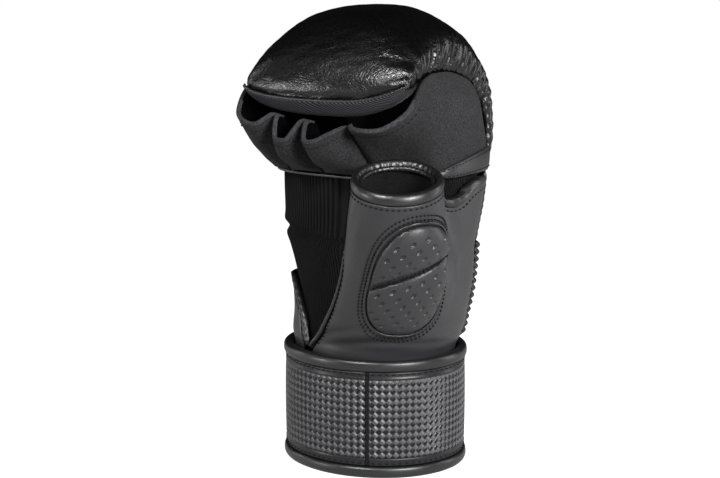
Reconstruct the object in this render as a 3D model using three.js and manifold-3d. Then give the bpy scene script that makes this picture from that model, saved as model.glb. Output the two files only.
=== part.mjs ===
// A right-hand sparring glove that stands on its wrist cuff.
// Millimetres. +Z runs from the cuff to the knuckles, -Y is the palm side, +X is the thumb side.
import * as THREE from "three";
import Module from "manifold-3d";

const wasm = await Module();
wasm.setup();

// Driving dimensions of the cuff
const CUFF_HALF_WIDTH = 49.6;
const CUFF_HALF_DEPTH = 45.0;
const CUFF_HEIGHT = 62.4;
const CUFF_BINDING_HEIGHT = 6.2;
const CUFF_BINDING_PROUD = 0.8;
const STRAP_LAYER = 1.8;
const CUFF_BAND_WALL = 2.2;
const CUFF_LAYER_GAP = 0.55;
const GROOVE_ANGLE = -63;
const GROOVE_HALF_ANGLE = 2.6;
const STRAP_END_HEIGHTS = [11, 51];
const STRAP_END_ANGLES = [72, 118];
const STRAP_END_THICKNESS = 2.2;
const PANEL_BACK_ANGLE = 96;
const PANEL_BACK_HALF_ANGLE = 0.4;

// Walls and the running gap between neighbouring pieces
const GAP = 0.35;
const SLEEVE_WALL = 2.0;
const SHELL_WALL = 2.0;
const SHELL_IN = 2.3;
const SHELL_OUT = SHELL_IN + SHELL_WALL;
const NEOPRENE_WALL = 2.6;

// The form of the hand inside the glove: a stack of rounded ovals.
// side and front place the oval's centre, halfWidth and halfDepth size it, square rounds its corners.
const HAND_FORM = [
  { z: 50, side: 0.0, front: 0.0, halfWidth: 40.4, halfDepth: 35.8, square: 2.0 },
  { z: 62, side: 0.0, front: 0.0, halfWidth: 40.4, halfDepth: 35.8, square: 2.0 },
  { z: 69, side: 1.0, front: 0.5, halfWidth: 42.4, halfDepth: 36.4, square: 2.1 },
  { z: 78, side: 2.2, front: 1.0, halfWidth: 43.4, halfDepth: 36.0, square: 2.1 },
  { z: 90, side: 2.6, front: 2.0, halfWidth: 44.6, halfDepth: 34.5, square: 2.3 },
  { z: 105, side: 0.6, front: 3.0, halfWidth: 47.6, halfDepth: 33.0, square: 2.5 },
  { z: 120, side: -1.6, front: 3.5, halfWidth: 50.8, halfDepth: 32.5, square: 2.6 },
  { z: 140, side: -0.8, front: 4.0, halfWidth: 53.2, halfDepth: 32.0, square: 2.8 },
  { z: 160, side: 0.0, front: 4.0, halfWidth: 53.4, halfDepth: 32.0, square: 3.0 },
  { z: 175, side: 0.0, front: 4.0, halfWidth: 53.4, halfDepth: 32.0, square: 3.0 },
];

// The form of the thumb: circles that lean out of the palm towards the mouth of the thumb sleeve
const THUMB_FORM = [
  { z: 50, side: 6.0, front: -4.0, radius: 9.0 },
  { z: 62, side: 8.0, front: -5.0, radius: 11.0 },
  { z: 70, side: 12.5, front: -10.0, radius: 20.5 },
  { z: 78, side: 17.0, front: -15.0, radius: 25.0 },
  { z: 90, side: 23.0, front: -21.5, radius: 24.6 },
  { z: 110, side: 33.6, front: -32.1, radius: 22.2 },
  { z: 130, side: 40.9, front: -41.0, radius: 20.7 },
  { z: 157, side: 47.1, front: -49.7, radius: 18.3 },
  { z: 172, side: 50.3, front: -53.2, radius: 17.9 },
];
const THUMB_BLEND = 14;
const THUMB_RIM_CENTRE = new THREE.Vector3(47.1, -49.7, 157);
const THUMB_RIM_LEAN = 18;
const THUMB_RIM_LEAN_TOWARDS = -55;
const THUMB_RIM_HALF_HEIGHT = 3.2;
const THUMB_RIM_HALF_WALL = 2.5;
const THUMB_BACK_DEPTH = 24;
const THUMB_BACK_FROM = 68;
const THUMB_BACK_TO = 170;
const THUMB_BACK_WALL = 1.6;
const THUMB_BACK_GAP = 1.2;

// The thumb shell's two edges, as directions from its own core line, and the height of its web edge
const SHELL_CORE = [
  { z: 50, side: 5, front: -4 },
  { z: 62, side: 6, front: -5 },
  { z: 110, side: 23, front: -15 },
  { z: 157, side: 36, front: -25 },
  { z: 172, side: 38, front: -27 },
];
const SHELL_EDGES = [
  { z: 56, palm: -124, back: 34 },
  { z: 64, palm: -120, back: 35 },
  { z: 75, palm: -112, back: 39 },
  { z: 90, palm: -105, back: 45 },
  { z: 105, palm: -102, back: 52 },
  { z: 118, palm: -105, back: 56 },
  { z: 135, palm: -118, back: 61 },
  { z: 157, palm: -128, back: 66 },
];
const SHELL_FOOT = 57;
const SHELL_ROWS = 10;
const WEB_EDGE = [
  { angle: -20, z: 158 },
  { angle: 0, z: 147 },
  { angle: 18, z: 140.5 },
  { angle: 36, z: 141 },
  { angle: 50, z: 146 },
  { angle: 66, z: 150 },
];

// The ribbed sleeve and its folded crease
const SLEEVE_ROWS = [54, 64, 76, 90, 106, 116.5, 121, 125.5, 140, 154.4];
const CREASE_HEIGHT = 121;
const CREASE_HALF_HEIGHT = 4.5;
const CREASE_DEPTH = 1.6;

// The two halves of the oval pad on the thumb
const OVAL_CENTRE = { angle: -44, z: 107.5 };
const OVAL_HALF_WIDTH = 21;
const OVAL_HALF_HEIGHT = 30;
const OVAL_LEAN = 3;
const OVAL_SQUARE = 2.4;
const OVAL_SEAM_RISE = 19;
const OVAL_SEAM_LIFT = 5;
const OVAL_SEAM_GAP = 0.6;
const OVAL_SEAM_REACH = 0.88;
const OVAL_EDGE_LIFT = 0.8;
const OVAL_PUFF = 3.6;
const OVAL_PIPING = 1.1;

// The rolled leather edges of the shell and of the panel on the little-finger side.
// setBack and reach are in degrees round the form, the rest in mm.
const FACING_BINDING = { setBack: 4.4, reach: 1.6, length: 70, out: 2.9 };
const WEB_BINDING = { from: -6, to: 62, rise: 2.6 };
const ULNAR_BINDING = { setBack: 3.6, reach: 1.4, out: 2.1 };
const BINDING_CLEAR = 0.6;

// The flexing ribs across the back of the wrist, and the plain panel above them
const RIB_PITCH = 3.9;
const RIB_COUNT = 13;
const RIB_FOOT = 66.5;
const RIB_DEPTH = 1.6;
const RIB_BASE = 3.7;
const BACK_IN = 1.3;
const BACK_EDGE_MARGINS = { ribs: 1.0, piping: 3, panel: 6.5 };
const BACK_PANEL_TOP = 154.4;
const BACK_EDGE_LEFT = 152;
const BACK_PANEL_LEFT = 158;
const BACK_PIPING_RADIUS = 1.2;
const BACK_PIPING_OUT = 3.1;

// The leather panel on the little-finger side of the wrist narrows to a point at its top
const ULNAR_EDGE = [
  { z: 57, front: 238, back: 154 },
  { z: 66, front: 240, back: 154 },
  { z: 78, front: 232, back: 154 },
  { z: 88, front: 220, back: 154 },
  { z: 97, front: 207, back: 154 },
];

// The finger section: foot and hem points of each wall from its back or inner edge to its front
const FINGER_FOOT = 155;
const BELLY_DROP = 0.5;
const PALM_PIPING = { from: -176, to: -71, drop: 1.4, out: 1.6, halfAcross: 1.2, halfAlong: 1.0 };
const INDEX_BAND = { fromRow: 0.4, toRow: 6, out: 0.5, crown: 0.7, inside: -1.3 };
const FINGER_WALLS = {
  index_panel: [
    { footX: 46.0, footY: 32.6, footZ: 167, hemX: 44.5, hemY: 32.4, hemZ: 172, belly: 0 },
    { footX: 49.8, footY: 30.5, footZ: 167, hemX: 46.8, hemY: 29.5, hemZ: 183, belly: 0.4 },
    { footX: 52.5, footY: 23, footZ: 166, hemX: 48.5, hemY: 18, hemZ: 198.2, belly: 1.0 },
    { footX: 54.5, footY: 12, footZ: 165, hemX: 49, hemY: 4, hemZ: 203.9, belly: 1.5 },
    { footX: 55, footY: 0, footZ: 163, hemX: 49.3, hemY: -12, hemZ: 206.2, belly: 2.0 },
    { footX: 54, footY: -10, footZ: 161, hemX: 49.6, hemY: -28, hemZ: 204.6, belly: 1.0 },
    { footX: 50, footY: -17, footZ: 158, hemX: 49, hemY: -42, hemZ: 190.5, belly: -2.9 },
    { footX: 42, footY: -20, footZ: 156, hemX: 40, hemY: -51, hemZ: 181.5, belly: -5.0 },
    { footX: 32, footY: -23, footZ: 155, hemX: 30, hemY: -54.5, hemZ: 180.0, belly: -4.2 },
    { footX: 24, footY: -26, footZ: 155, hemX: 20, hemY: -52, hemZ: 181, belly: -1.0 },
    { footX: 19.5, footY: -27, footZ: 155, hemX: 15.5, hemY: -45, hemZ: 182, belly: 0.5 },
  ],
  middle_loop: [
    { footX: 18.2, footY: -28.0, footZ: 155, hemX: 14, hemY: -41, hemZ: 181.6, belly: 0 },
    { footX: 17.5, footY: -31, footZ: 155, hemX: 14, hemY: -48, hemZ: 181.6, belly: 1 },
    { footX: 12, footY: -32, footZ: 155, hemX: 10.5, hemY: -58, hemZ: 178.5, belly: 3.5 },
    { footX: 3.5, footY: -32, footZ: 155, hemX: 3.5, hemY: -61, hemZ: 176.5, belly: 4.5 },
    { footX: -5, footY: -32, footZ: 155, hemX: -4, hemY: -60, hemZ: 179, belly: 3.5 },
    { footX: -10, footY: -31.5, footZ: 155, hemX: -8.5, hemY: -51, hemZ: 183, belly: 1 },
    { footX: -10.5, footY: -29.5, footZ: 155, hemX: -8.5, hemY: -43, hemZ: 183, belly: 0 },
  ],
  ring_loop: [
    { footX: -11.5, footY: -29.5, footZ: 155, hemX: -9.6, hemY: -43, hemZ: 183.2, belly: 0 },
    { footX: -12, footY: -31.5, footZ: 155, hemX: -10, hemY: -50.5, hemZ: 183.2, belly: 1 },
    { footX: -16, footY: -32, footZ: 155, hemX: -12.5, hemY: -59.5, hemZ: 178, belly: 3.2 },
    { footX: -21.5, footY: -31.8, footZ: 155, hemX: -17.5, hemY: -61, hemZ: 175, belly: 4 },
    { footX: -27.5, footY: -31.5, footZ: 155, hemX: -23.5, hemY: -58, hemZ: 178.5, belly: 3.2 },
    { footX: -32, footY: -31, footZ: 155, hemX: -27.8, hemY: -50, hemZ: 185, belly: 1 },
    { footX: -32.5, footY: -29, footZ: 155, hemX: -28, hemY: -43, hemZ: 185, belly: 0 },
  ],
  little_panel: [
    { footX: -33.6, footY: -28.5, footZ: 155, hemX: -29.2, hemY: -43, hemZ: 185.4, belly: 0 },
    { footX: -34, footY: -30.6, footZ: 155, hemX: -29.6, hemY: -49.5, hemZ: 185.4, belly: 1 },
    { footX: -38.5, footY: -30, footZ: 155, hemX: -34.5, hemY: -57, hemZ: 182.5, belly: 2.6 },
    { footX: -45, footY: -27.5, footZ: 155, hemX: -42.5, hemY: -57.5, hemZ: 181.5, belly: 2.2 },
    { footX: -50.5, footY: -21.5, footZ: 155, hemX: -50, hemY: -53.5, hemZ: 186, belly: 1.4 },
    { footX: -54, footY: -12, footZ: 155, hemX: -52, hemY: -43, hemZ: 197, belly: 1.2 },
    { footX: -55.4, footY: 0, footZ: 155, hemX: -52, hemY: -22, hemZ: 205.8, belly: 1.2 },
    { footX: -55.3, footY: 13, footZ: 155, hemX: -51.5, hemY: 0, hemZ: 204.8, belly: 1.2 },
    { footX: -53.5, footY: 24, footZ: 155, hemX: -50.8, hemY: 17, hemZ: 198.6, belly: 0.8 },
    { footX: -50, footY: 31, footZ: 155, hemX: -48.0, hemY: 29.5, hemZ: 183, belly: 0.4 },
    { footX: -46.4, footY: 32.8, footZ: 155, hemX: -45.4, hemY: 32.4, hemZ: 171, belly: 0 },
  ],
};

// The knuckle pad from its dorsal edge over the top to the front rim.
// side is the seam on both flanks, crown the outside at mid width, bed the hollow face.
const PAD_PROFILE = [
  { sideY: 33.6, sideZ: 157.5, crownY: 40.7, crownZ: 157.0, bedY: 36.8, bedZ: 156.6 },
  { sideY: 34.6, sideZ: 170.0, crownY: 44.6, crownZ: 173.0, bedY: 37.6, bedZ: 170.5 },
  { sideY: 32.5, sideZ: 183.5, crownY: 46.6, crownZ: 192.5, bedY: 36.0, bedZ: 184.0 },
  { sideY: 26.0, sideZ: 193.5, crownY: 43.0, crownZ: 211.5, bedY: 30.0, bedZ: 194.5 },
  { sideY: 15.0, sideZ: 201.0, crownY: 33.5, crownZ: 226.5, bedY: 19.0, bedZ: 202.0 },
  { sideY: 3.0, sideZ: 205.0, crownY: 18.5, crownZ: 236.0, bedY: 5.0, bedZ: 206.0 },
  { sideY: -10.0, sideZ: 207.0, crownY: 1.0, crownZ: 239.2, bedY: -9.0, bedZ: 206.5 },
  { sideY: -21.0, sideZ: 207.0, crownY: -16.5, crownZ: 236.0, bedY: -20.0, bedZ: 203.5 },
  { sideY: -30.0, sideZ: 206.0, crownY: -32.0, crownZ: 227.0, bedY: -28.0, bedZ: 198.0 },
  { sideY: -36.5, sideZ: 204.5, crownY: -43.5, crownZ: 214.0, bedY: -34.0, bedZ: 191.5 },
  { sideY: -41.0, sideZ: 202.5, crownY: -48.5, crownZ: 201.0, bedY: -39.5, bedZ: 186.5 },
  { sideY: -42.0, sideZ: 201.5, crownY: -48.5, crownZ: 192.5, bedY: -43.5, bedZ: 185.5 },
];
const PAD_SIDE_X = { thumb: 46, little: -48.5 };
const PAD_CORNER = { thumb: 2.3, little: 2.4 };
const PAD_OVERHANG = { thumb: 0.1, little: 0 };
const PAD_SKEW = 0.07;
const PAD_SKEW_FULL = 45;
const PAD_CORE_HEIGHT = 185;
const PAD_EDGE_WALL = 2.2;
const UNDERSIDE_WALL = 1.2;
const UNDERSIDE_LAST_ROW = 6.5;
const UNDERSIDE_LIP_SHARE = 0.3;
const UNDERSIDE_SIDE_MARGIN = 0.09;
const UNDERSIDE_FRONT_MARGIN = 0.04;

const COLOURS = {
  knuckle_pad: [0x17171a, 0.3],
  pad_underside: [0x222224, 0.85],
  neoprene: [0x2f2f30, 0.95],
  elastic: [0x15151a, 0.9],
  shell: [0x48484a, 0.5],
  binding: [0x3a3a3c, 0.45],
  oval: [0x404043, 0.5],
  cuff: [0x444447, 0.5],
  back: [0x38383a, 0.55],
};

const rad = THREE.MathUtils.degToRad;
const glove = new THREE.Group();

function add(name, colour, geometry) {
  const [color, roughness] = COLOURS[colour];
  const mesh = new THREE.Mesh(geometry, new THREE.MeshStandardMaterial({ color, roughness, metalness: 0 }));
  mesh.name = name;
  glove.add(mesh);
}

// A column of a table read at any place of its key column, as a smooth curve through the rows
function read(table, key, column, at) {
  const last = table.length - 1;
  const x = THREE.MathUtils.clamp(at, table[0][key], table[last][key]);
  let i = 0;
  while (i < last - 1 && x > table[i + 1][key]) i += 1;
  const slope = (j) => {
    const low = table[Math.max(j - 1, 0)];
    const high = table[Math.min(j + 1, last)];
    return (high[column] - low[column]) / (high[key] - low[key]);
  };
  const step = table[i + 1][key] - table[i][key];
  const t = (x - table[i][key]) / step;
  const from = table[i][column];
  const to = table[i + 1][column];
  const hold = (2 * t ** 3 - 3 * t ** 2 + 1) * from + (3 * t ** 2 - 2 * t ** 3) * to;
  return hold + (t ** 3 - 2 * t ** 2 + t) * step * slope(i) + (t ** 3 - t ** 2) * step * slope(i + 1);
}

// The same for a table whose rows are evenly spaced, with the place counted in rows
function readRows(table, column, at) {
  const last = table.length - 1;
  const i = Math.min(Math.floor(at), last - 1);
  const t = at - i;
  const value = (j) => table[THREE.MathUtils.clamp(j, 0, last)][column];
  const slope = (j) => (value(j + 1) - value(j - 1)) / (Math.min(j + 1, last) - Math.max(j - 1, 0));
  const hold = (2 * t ** 3 - 3 * t ** 2 + 1) * value(i) + (3 * t ** 2 - 2 * t ** 3) * value(i + 1);
  return hold + (t ** 3 - 2 * t ** 2 + t) * slope(i) + (t ** 3 - t ** 2) * slope(i + 1);
}

function geometryFrom(points, triangles) {
  let volume = 0;
  for (const [a, b, c] of triangles) volume += points[a].dot(points[b].clone().cross(points[c]));
  const faces = volume < 0 ? triangles.map(([a, b, c]) => [a, c, b]) : triangles;
  const geometry = new THREE.BufferGeometry().setFromPoints(points);
  geometry.setIndex(faces.flat());
  return geometry;
}

// A wall of real thickness between two surfaces that are given over the same columns and rows
function wall(outer, inner, columns, rows, closed = false) {
  const count = closed ? columns : columns + 1;
  const points = [];
  for (const surface of [outer, inner]) {
    for (let j = 0; j <= rows; j += 1) {
      for (let i = 0; i < count; i += 1) points.push(surface(i / columns, j / rows));
    }
  }
  const layer = count * (rows + 1);
  const at = (side, i, j) => side * layer + j * count + (i % count);
  const triangles = [];
  const quad = (a, b, c, d) => triangles.push([a, b, c], [a, c, d]);
  for (let j = 0; j < rows; j += 1) {
    for (let i = 0; i < columns; i += 1) {
      quad(at(0, i, j), at(0, i + 1, j), at(0, i + 1, j + 1), at(0, i, j + 1));
      quad(at(1, i, j), at(1, i, j + 1), at(1, i + 1, j + 1), at(1, i + 1, j));
    }
  }
  for (let i = 0; i < columns; i += 1) {
    quad(at(0, i, 0), at(1, i, 0), at(1, i + 1, 0), at(0, i + 1, 0));
    quad(at(0, i, rows), at(0, i + 1, rows), at(1, i + 1, rows), at(1, i, rows));
  }
  if (!closed) {
    for (let j = 0; j < rows; j += 1) {
      quad(at(0, 0, j), at(0, 0, j + 1), at(1, 0, j + 1), at(1, 0, j));
      quad(at(0, columns, j), at(1, columns, j), at(1, columns, j + 1), at(0, columns, j + 1));
    }
  }
  return geometryFrom(points, triangles);
}

// A band of any section carried along a path: place(t, section point) gives each point
function sweep(place, section, steps, closed = false) {
  const stations = closed ? steps : steps + 1;
  const size = section.length;
  const points = [];
  for (let i = 0; i < stations; i += 1) {
    for (const point of section) points.push(place(i / steps, point));
  }
  const triangles = [];
  for (let i = 0; i < steps; i += 1) {
    const here = i * size;
    const next = ((i + 1) % stations) * size;
    for (let k = 0; k < size; k += 1) {
      const l = (k + 1) % size;
      triangles.push([here + k, next + k, next + l], [here + k, next + l, here + l]);
    }
  }
  if (!closed) {
    const end = steps * size;
    for (let k = 1; k < size - 1; k += 1) {
      triangles.push([0, k, k + 1], [end, end + k + 1, end + k]);
    }
  }
  return geometryFrom(points, triangles);
}

function roundSection(halfAcross, halfAlong, sides) {
  return Array.from({ length: sides }, (_, k) => {
    const turn = (2 * Math.PI * (k + 0.5)) / sides;
    return [halfAcross * Math.cos(turn), halfAlong * Math.sin(turn)];
  });
}

// A point on the hand form at a height and an angle, moved out by an offset
function handPoint(z, degrees, offset) {
  const power = 2 / read(HAND_FORM, "z", "square", z);
  const c = Math.cos(rad(degrees));
  const s = Math.sin(rad(degrees));
  const across = read(HAND_FORM, "z", "halfWidth", z) + offset;
  const deep = read(HAND_FORM, "z", "halfDepth", z) + offset;
  return new THREE.Vector3(
    read(HAND_FORM, "z", "side", z) + across * Math.sign(c) * Math.abs(c) ** power,
    read(HAND_FORM, "z", "front", z) + deep * Math.sign(s) * Math.abs(s) ** power,
    z,
  );
}

function cuffPoint(z, degrees, inset) {
  const x = (CUFF_HALF_WIDTH - inset) * Math.cos(rad(degrees));
  const y = (CUFF_HALF_DEPTH - inset) * Math.sin(rad(degrees));
  return new THREE.Vector3(x, y, z);
}

// How far a point lies outside the hand form and the thumb form, melted into one skin
function skinDistance(x, y, z) {
  const across = (x - read(HAND_FORM, "z", "side", z)) / read(HAND_FORM, "z", "halfWidth", z);
  const deep = (y - read(HAND_FORM, "z", "front", z)) / read(HAND_FORM, "z", "halfDepth", z);
  const power = read(HAND_FORM, "z", "square", z);
  const grow = (Math.abs(across) ** power + Math.abs(deep) ** power) ** (1 / power);
  const reach = Math.hypot(x - read(HAND_FORM, "z", "side", z), y - read(HAND_FORM, "z", "front", z));
  const hand = (1 - 1 / grow) * reach;
  const fromThumb = Math.hypot(x - read(THUMB_FORM, "z", "side", z), y - read(THUMB_FORM, "z", "front", z));
  const thumb = fromThumb - read(THUMB_FORM, "z", "radius", z);
  const mix = THREE.MathUtils.clamp(0.5 + (0.5 * (thumb - hand)) / THUMB_BLEND, 0, 1);
  return thumb + (hand - thumb) * mix - THUMB_BLEND * mix * (1 - mix);
}

// A point of that skin in a direction from the shell's core line, moved out by an offset
function shellPoint(z, degrees, offset) {
  const coreX = read(SHELL_CORE, "z", "side", z);
  const coreY = read(SHELL_CORE, "z", "front", z);
  const c = Math.cos(rad(degrees));
  const s = Math.sin(rad(degrees));
  let low = 0;
  let high = 110;
  for (let i = 0; i < 30; i += 1) {
    const middle = (low + high) / 2;
    if (skinDistance(coreX + middle * c, coreY + middle * s, z) < offset) low = middle;
    else high = middle;
  }
  return new THREE.Vector3(coreX + low * c, coreY + low * s, z);
}

// The tilted plane of the thumb mouth
function rimHeight(x, y) {
  const lean = Math.tan(rad(THUMB_RIM_LEAN));
  const awayX = (x - THUMB_RIM_CENTRE.x) * Math.cos(rad(THUMB_RIM_LEAN_TOWARDS));
  const awayY = (y - THUMB_RIM_CENTRE.y) * Math.sin(rad(THUMB_RIM_LEAN_TOWARDS));
  return THUMB_RIM_CENTRE.z - lean * (awayX + awayY);
}

function cuff() {
  const inner = STRAP_LAYER + CUFF_LAYER_GAP;
  const foot = CUFF_BINDING_HEIGHT + GAP;
  const top = CUFF_HEIGHT - CUFF_BINDING_HEIGHT - GAP;
  const height = (v) => foot + (top - foot) * v;
  add("cuff_band", "cuff", wall(
    (u, v) => cuffPoint(height(v), 360 * u, inner),
    (u, v) => cuffPoint(height(v), 360 * u, inner + CUFF_BAND_WALL),
    36, 1, true,
  ));
  const panel = (name, from, to) => add(name, "cuff", wall(
    (u, v) => cuffPoint(height(v), from + (to - from) * u, 0),
    (u, v) => cuffPoint(height(v), from + (to - from) * u, STRAP_LAYER),
    18, 1,
  ));
  panel("strap_panel_thumb_side", GROOVE_ANGLE + GROOVE_HALF_ANGLE, PANEL_BACK_ANGLE - PANEL_BACK_HALF_ANGLE);
  const panelBack = PANEL_BACK_ANGLE + PANEL_BACK_HALF_ANGLE - 360;
  panel("strap_panel_palm_side", panelBack, GROOVE_ANGLE - GROOVE_HALF_ANGLE);
  const [endFoot, endTop] = STRAP_END_HEIGHTS;
  const [endFrom, endTo] = STRAP_END_ANGLES;
  const strapEnd = (u, v, inset) => {
    const z = endFoot + (endTop - endFoot) * v;
    return cuffPoint(z, endFrom + (endTo - endFrom) * u, inset);
  };
  add("strap_end", "binding", wall(
    (u, v) => strapEnd(u, v, -GAP - STRAP_END_THICKNESS),
    (u, v) => strapEnd(u, v, -GAP),
    10, 1,
  ));
  const depth = inner + CUFF_BAND_WALL;
  const round = 1.6;
  const low = [
    [depth, 1.6], [depth - 0.9, 0], [round, 0], [0.2, 1.0], [-CUFF_BINDING_PROUD, 3.0],
    [-CUFF_BINDING_PROUD * 0.7, CUFF_BINDING_HEIGHT - 1.4], [0.3, CUFF_BINDING_HEIGHT],
    [depth, CUFF_BINDING_HEIGHT],
  ];
  const bind = (name, place) => add(name, "binding", sweep(
    (t, [inset, z]) => cuffPoint(place(z), 360 * t, inset), low, 36, true,
  ));
  bind("cuff_binding_bottom", (z) => z);
  bind("cuff_binding_top", (z) => CUFF_HEIGHT - z);
}

// The thumb's clearance through the ribbed sleeve
function thumbChannel() {
  const sides = 20;
  const rows = [82, 95, 110, 130, 150, 172];
  const points = [];
  for (const z of rows) {
    const radius = read(THUMB_FORM, "z", "radius", z) + SHELL_OUT + GAP;
    for (let k = 0; k < sides; k += 1) {
      const turn = (2 * Math.PI * k) / sides;
      points.push(new THREE.Vector3(
        read(THUMB_FORM, "z", "side", z) + radius * Math.cos(turn),
        read(THUMB_FORM, "z", "front", z) + radius * Math.sin(turn),
        z,
      ));
    }
  }
  const triangles = [];
  for (let j = 0; j < rows.length - 1; j += 1) {
    for (let k = 0; k < sides; k += 1) {
      const l = (k + 1) % sides;
      const here = j * sides;
      const next = here + sides;
      triangles.push([here + k, here + l, next + l], [here + k, next + l, next + k]);
    }
  }
  const top = (rows.length - 1) * sides;
  for (let k = 1; k < sides - 1; k += 1) triangles.push([0, k + 1, k], [top, top + k, top + k + 1]);
  return geometryFrom(points, triangles);
}

function solid(geometry) {
  const vertProperties = new Float32Array(geometry.attributes.position.array);
  const triVerts = new Uint32Array(geometry.index.array);
  return new wasm.Manifold(new wasm.Mesh({ numProp: 3, vertProperties, triVerts }));
}

function fromSolid(manifold) {
  const mesh = manifold.getMesh();
  const geometry = new THREE.BufferGeometry();
  geometry.setAttribute("position", new THREE.BufferAttribute(new Float32Array(mesh.vertProperties), 3));
  geometry.setIndex([...mesh.triVerts]);
  return geometry;
}

function sleeve() {
  const rows = SLEEVE_ROWS.length - 1;
  const height = (v) => SLEEVE_ROWS[Math.round(v * rows)];
  const fold = (z) => CREASE_DEPTH * Math.max(0, 1 - Math.abs(z - CREASE_HEIGHT) / CREASE_HALF_HEIGHT);
  const tube = wall(
    (u, v) => handPoint(height(v), 360 * u, -fold(height(v))),
    (u, v) => handPoint(height(v), 360 * u, -fold(height(v)) - SLEEVE_WALL),
    32, rows, true,
  );
  add("ribbed_sleeve", "elastic", fromSolid(solid(tube).subtract(solid(thumbChannel()))));
}

// The shell's top edge: the thumb mouth on the thumb's side, the web dip towards the back of the hand
function shellTop(degrees) {
  const web = read(WEB_EDGE, "angle", "z", degrees);
  let z = THUMB_RIM_CENTRE.z;
  for (let i = 0; i < 6; i += 1) {
    const p = shellPoint(z, degrees, SHELL_OUT);
    z = Math.min(rimHeight(p.x, p.y), 170) - THUMB_RIM_HALF_HEIGHT - GAP;
  }
  return degrees < WEB_EDGE[0].angle ? z : Math.min(z, web);
}

// The first row of the shell is its tuck inside the cuff
function shellRow(row, top) {
  if (row <= 1) return SHELL_FOOT + (CUFF_HEIGHT - SHELL_FOOT) * row;
  return CUFF_HEIGHT + ((top - CUFF_HEIGHT) * (row - 1)) / (SHELL_ROWS - 1);
}

function shellPlace(u, v, offset) {
  let z = 110;
  let degrees = 0;
  for (let i = 0; i < 8; i += 1) {
    const palm = read(SHELL_EDGES, "z", "palm", z);
    const back = read(SHELL_EDGES, "z", "back", z);
    degrees = palm + (back - palm) * u;
    z = shellRow(v * SHELL_ROWS, shellTop(degrees));
  }
  return shellPoint(z, degrees, offset);
}

function thumbShell() {
  add("thumb_shell", "shell", wall(
    (u, v) => shellPlace(u, v, SHELL_OUT),
    (u, v) => shellPlace(u, v, SHELL_IN),
    24, SHELL_ROWS,
  ));
  const facing = roundSection(1.6, 1.5, 6);
  add("facing_binding", "binding", sweep((t, [across, out]) => {
    const z = CUFF_HEIGHT + BINDING_CLEAR + FACING_BINDING.length * t;
    const edge = read(SHELL_EDGES, "z", "palm", z) - FACING_BINDING.setBack;
    return shellPoint(z, edge - FACING_BINDING.reach * across, FACING_BINDING.out + out);
  }, facing, 12));
}

function thumbPoint(degrees, z, offset) {
  const radius = read(THUMB_FORM, "z", "radius", z) + offset;
  const x = read(THUMB_FORM, "z", "side", z) + radius * Math.cos(rad(degrees));
  const y = read(THUMB_FORM, "z", "front", z) + radius * Math.sin(rad(degrees));
  return new THREE.Vector3(x, y, z);
}

function rimPoint(degrees, offset, rise) {
  let p = thumbPoint(degrees, THUMB_RIM_CENTRE.z, offset);
  for (let i = 0; i < 6; i += 1) p = thumbPoint(degrees, rimHeight(p.x, p.y), offset);
  return p.setZ(p.z + rise);
}

function thumbMouth() {
  const middle = (SHELL_IN + SHELL_OUT) / 2;
  add("thumb_rim", "binding", sweep(
    (t, [out, rise]) => rimPoint(360 * t, middle + out, rise),
    roundSection(THUMB_RIM_HALF_WALL, THUMB_RIM_HALF_HEIGHT, 8), 24, true,
  ));
  const backPoint = (u, v, offset) => {
    const degrees = THUMB_BACK_FROM + (THUMB_BACK_TO - THUMB_BACK_FROM) * u;
    const top = rimPoint(degrees, offset, -THUMB_RIM_HALF_HEIGHT - GAP).z;
    return thumbPoint(degrees, top - THUMB_BACK_DEPTH * (1 - v), offset);
  };
  add("thumb_sleeve_back", "shell", wall(
    (u, v) => backPoint(u, v, SHELL_IN - THUMB_BACK_GAP),
    (u, v) => backPoint(u, v, SHELL_IN - THUMB_BACK_GAP - THUMB_BACK_WALL),
    10, 3,
  ));
}

// The roll of leather that binds the web between thumb and hand
function webBinding() {
  add("web_binding", "binding", sweep((t, [across, along]) => {
    const degrees = WEB_BINDING.from + (WEB_BINDING.to - WEB_BINDING.from) * t;
    const z = read(WEB_EDGE, "angle", "z", degrees) + WEB_BINDING.rise + along;
    return shellPoint(z, degrees, (SHELL_IN + SHELL_OUT) / 2 + across);
  }, roundSection(1.9, 2.2, 6), 14));
}

// A place on the oval pad: ring 0 is its middle and ring 1 its edge, turn goes round it
function ovalPlace(ring, turn, lift) {
  const fill = (part) => ring * Math.sign(part) * Math.abs(part) ** (2 / OVAL_SQUARE);
  return ovalPoint(OVAL_HALF_WIDTH * fill(Math.cos(turn)), OVAL_HALF_HEIGHT * fill(Math.sin(turn)), lift);
}

function ovalPoint(across, along, lift) {
  const lean = rad(OVAL_LEAN);
  const right = across * Math.cos(lean) + along * Math.sin(lean);
  const up = along * Math.cos(lean) - across * Math.sin(lean);
  const z = OVAL_CENTRE.z + up;
  const middle = shellPoint(z, OVAL_CENTRE.angle, SHELL_OUT);
  const coreX = read(SHELL_CORE, "z", "side", z);
  const coreY = read(SHELL_CORE, "z", "front", z);
  const reach = Math.hypot(middle.x - coreX, middle.y - coreY);
  return shellPoint(z, OVAL_CENTRE.angle + THREE.MathUtils.radToDeg(right / reach), SHELL_OUT + GAP + lift);
}

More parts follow.
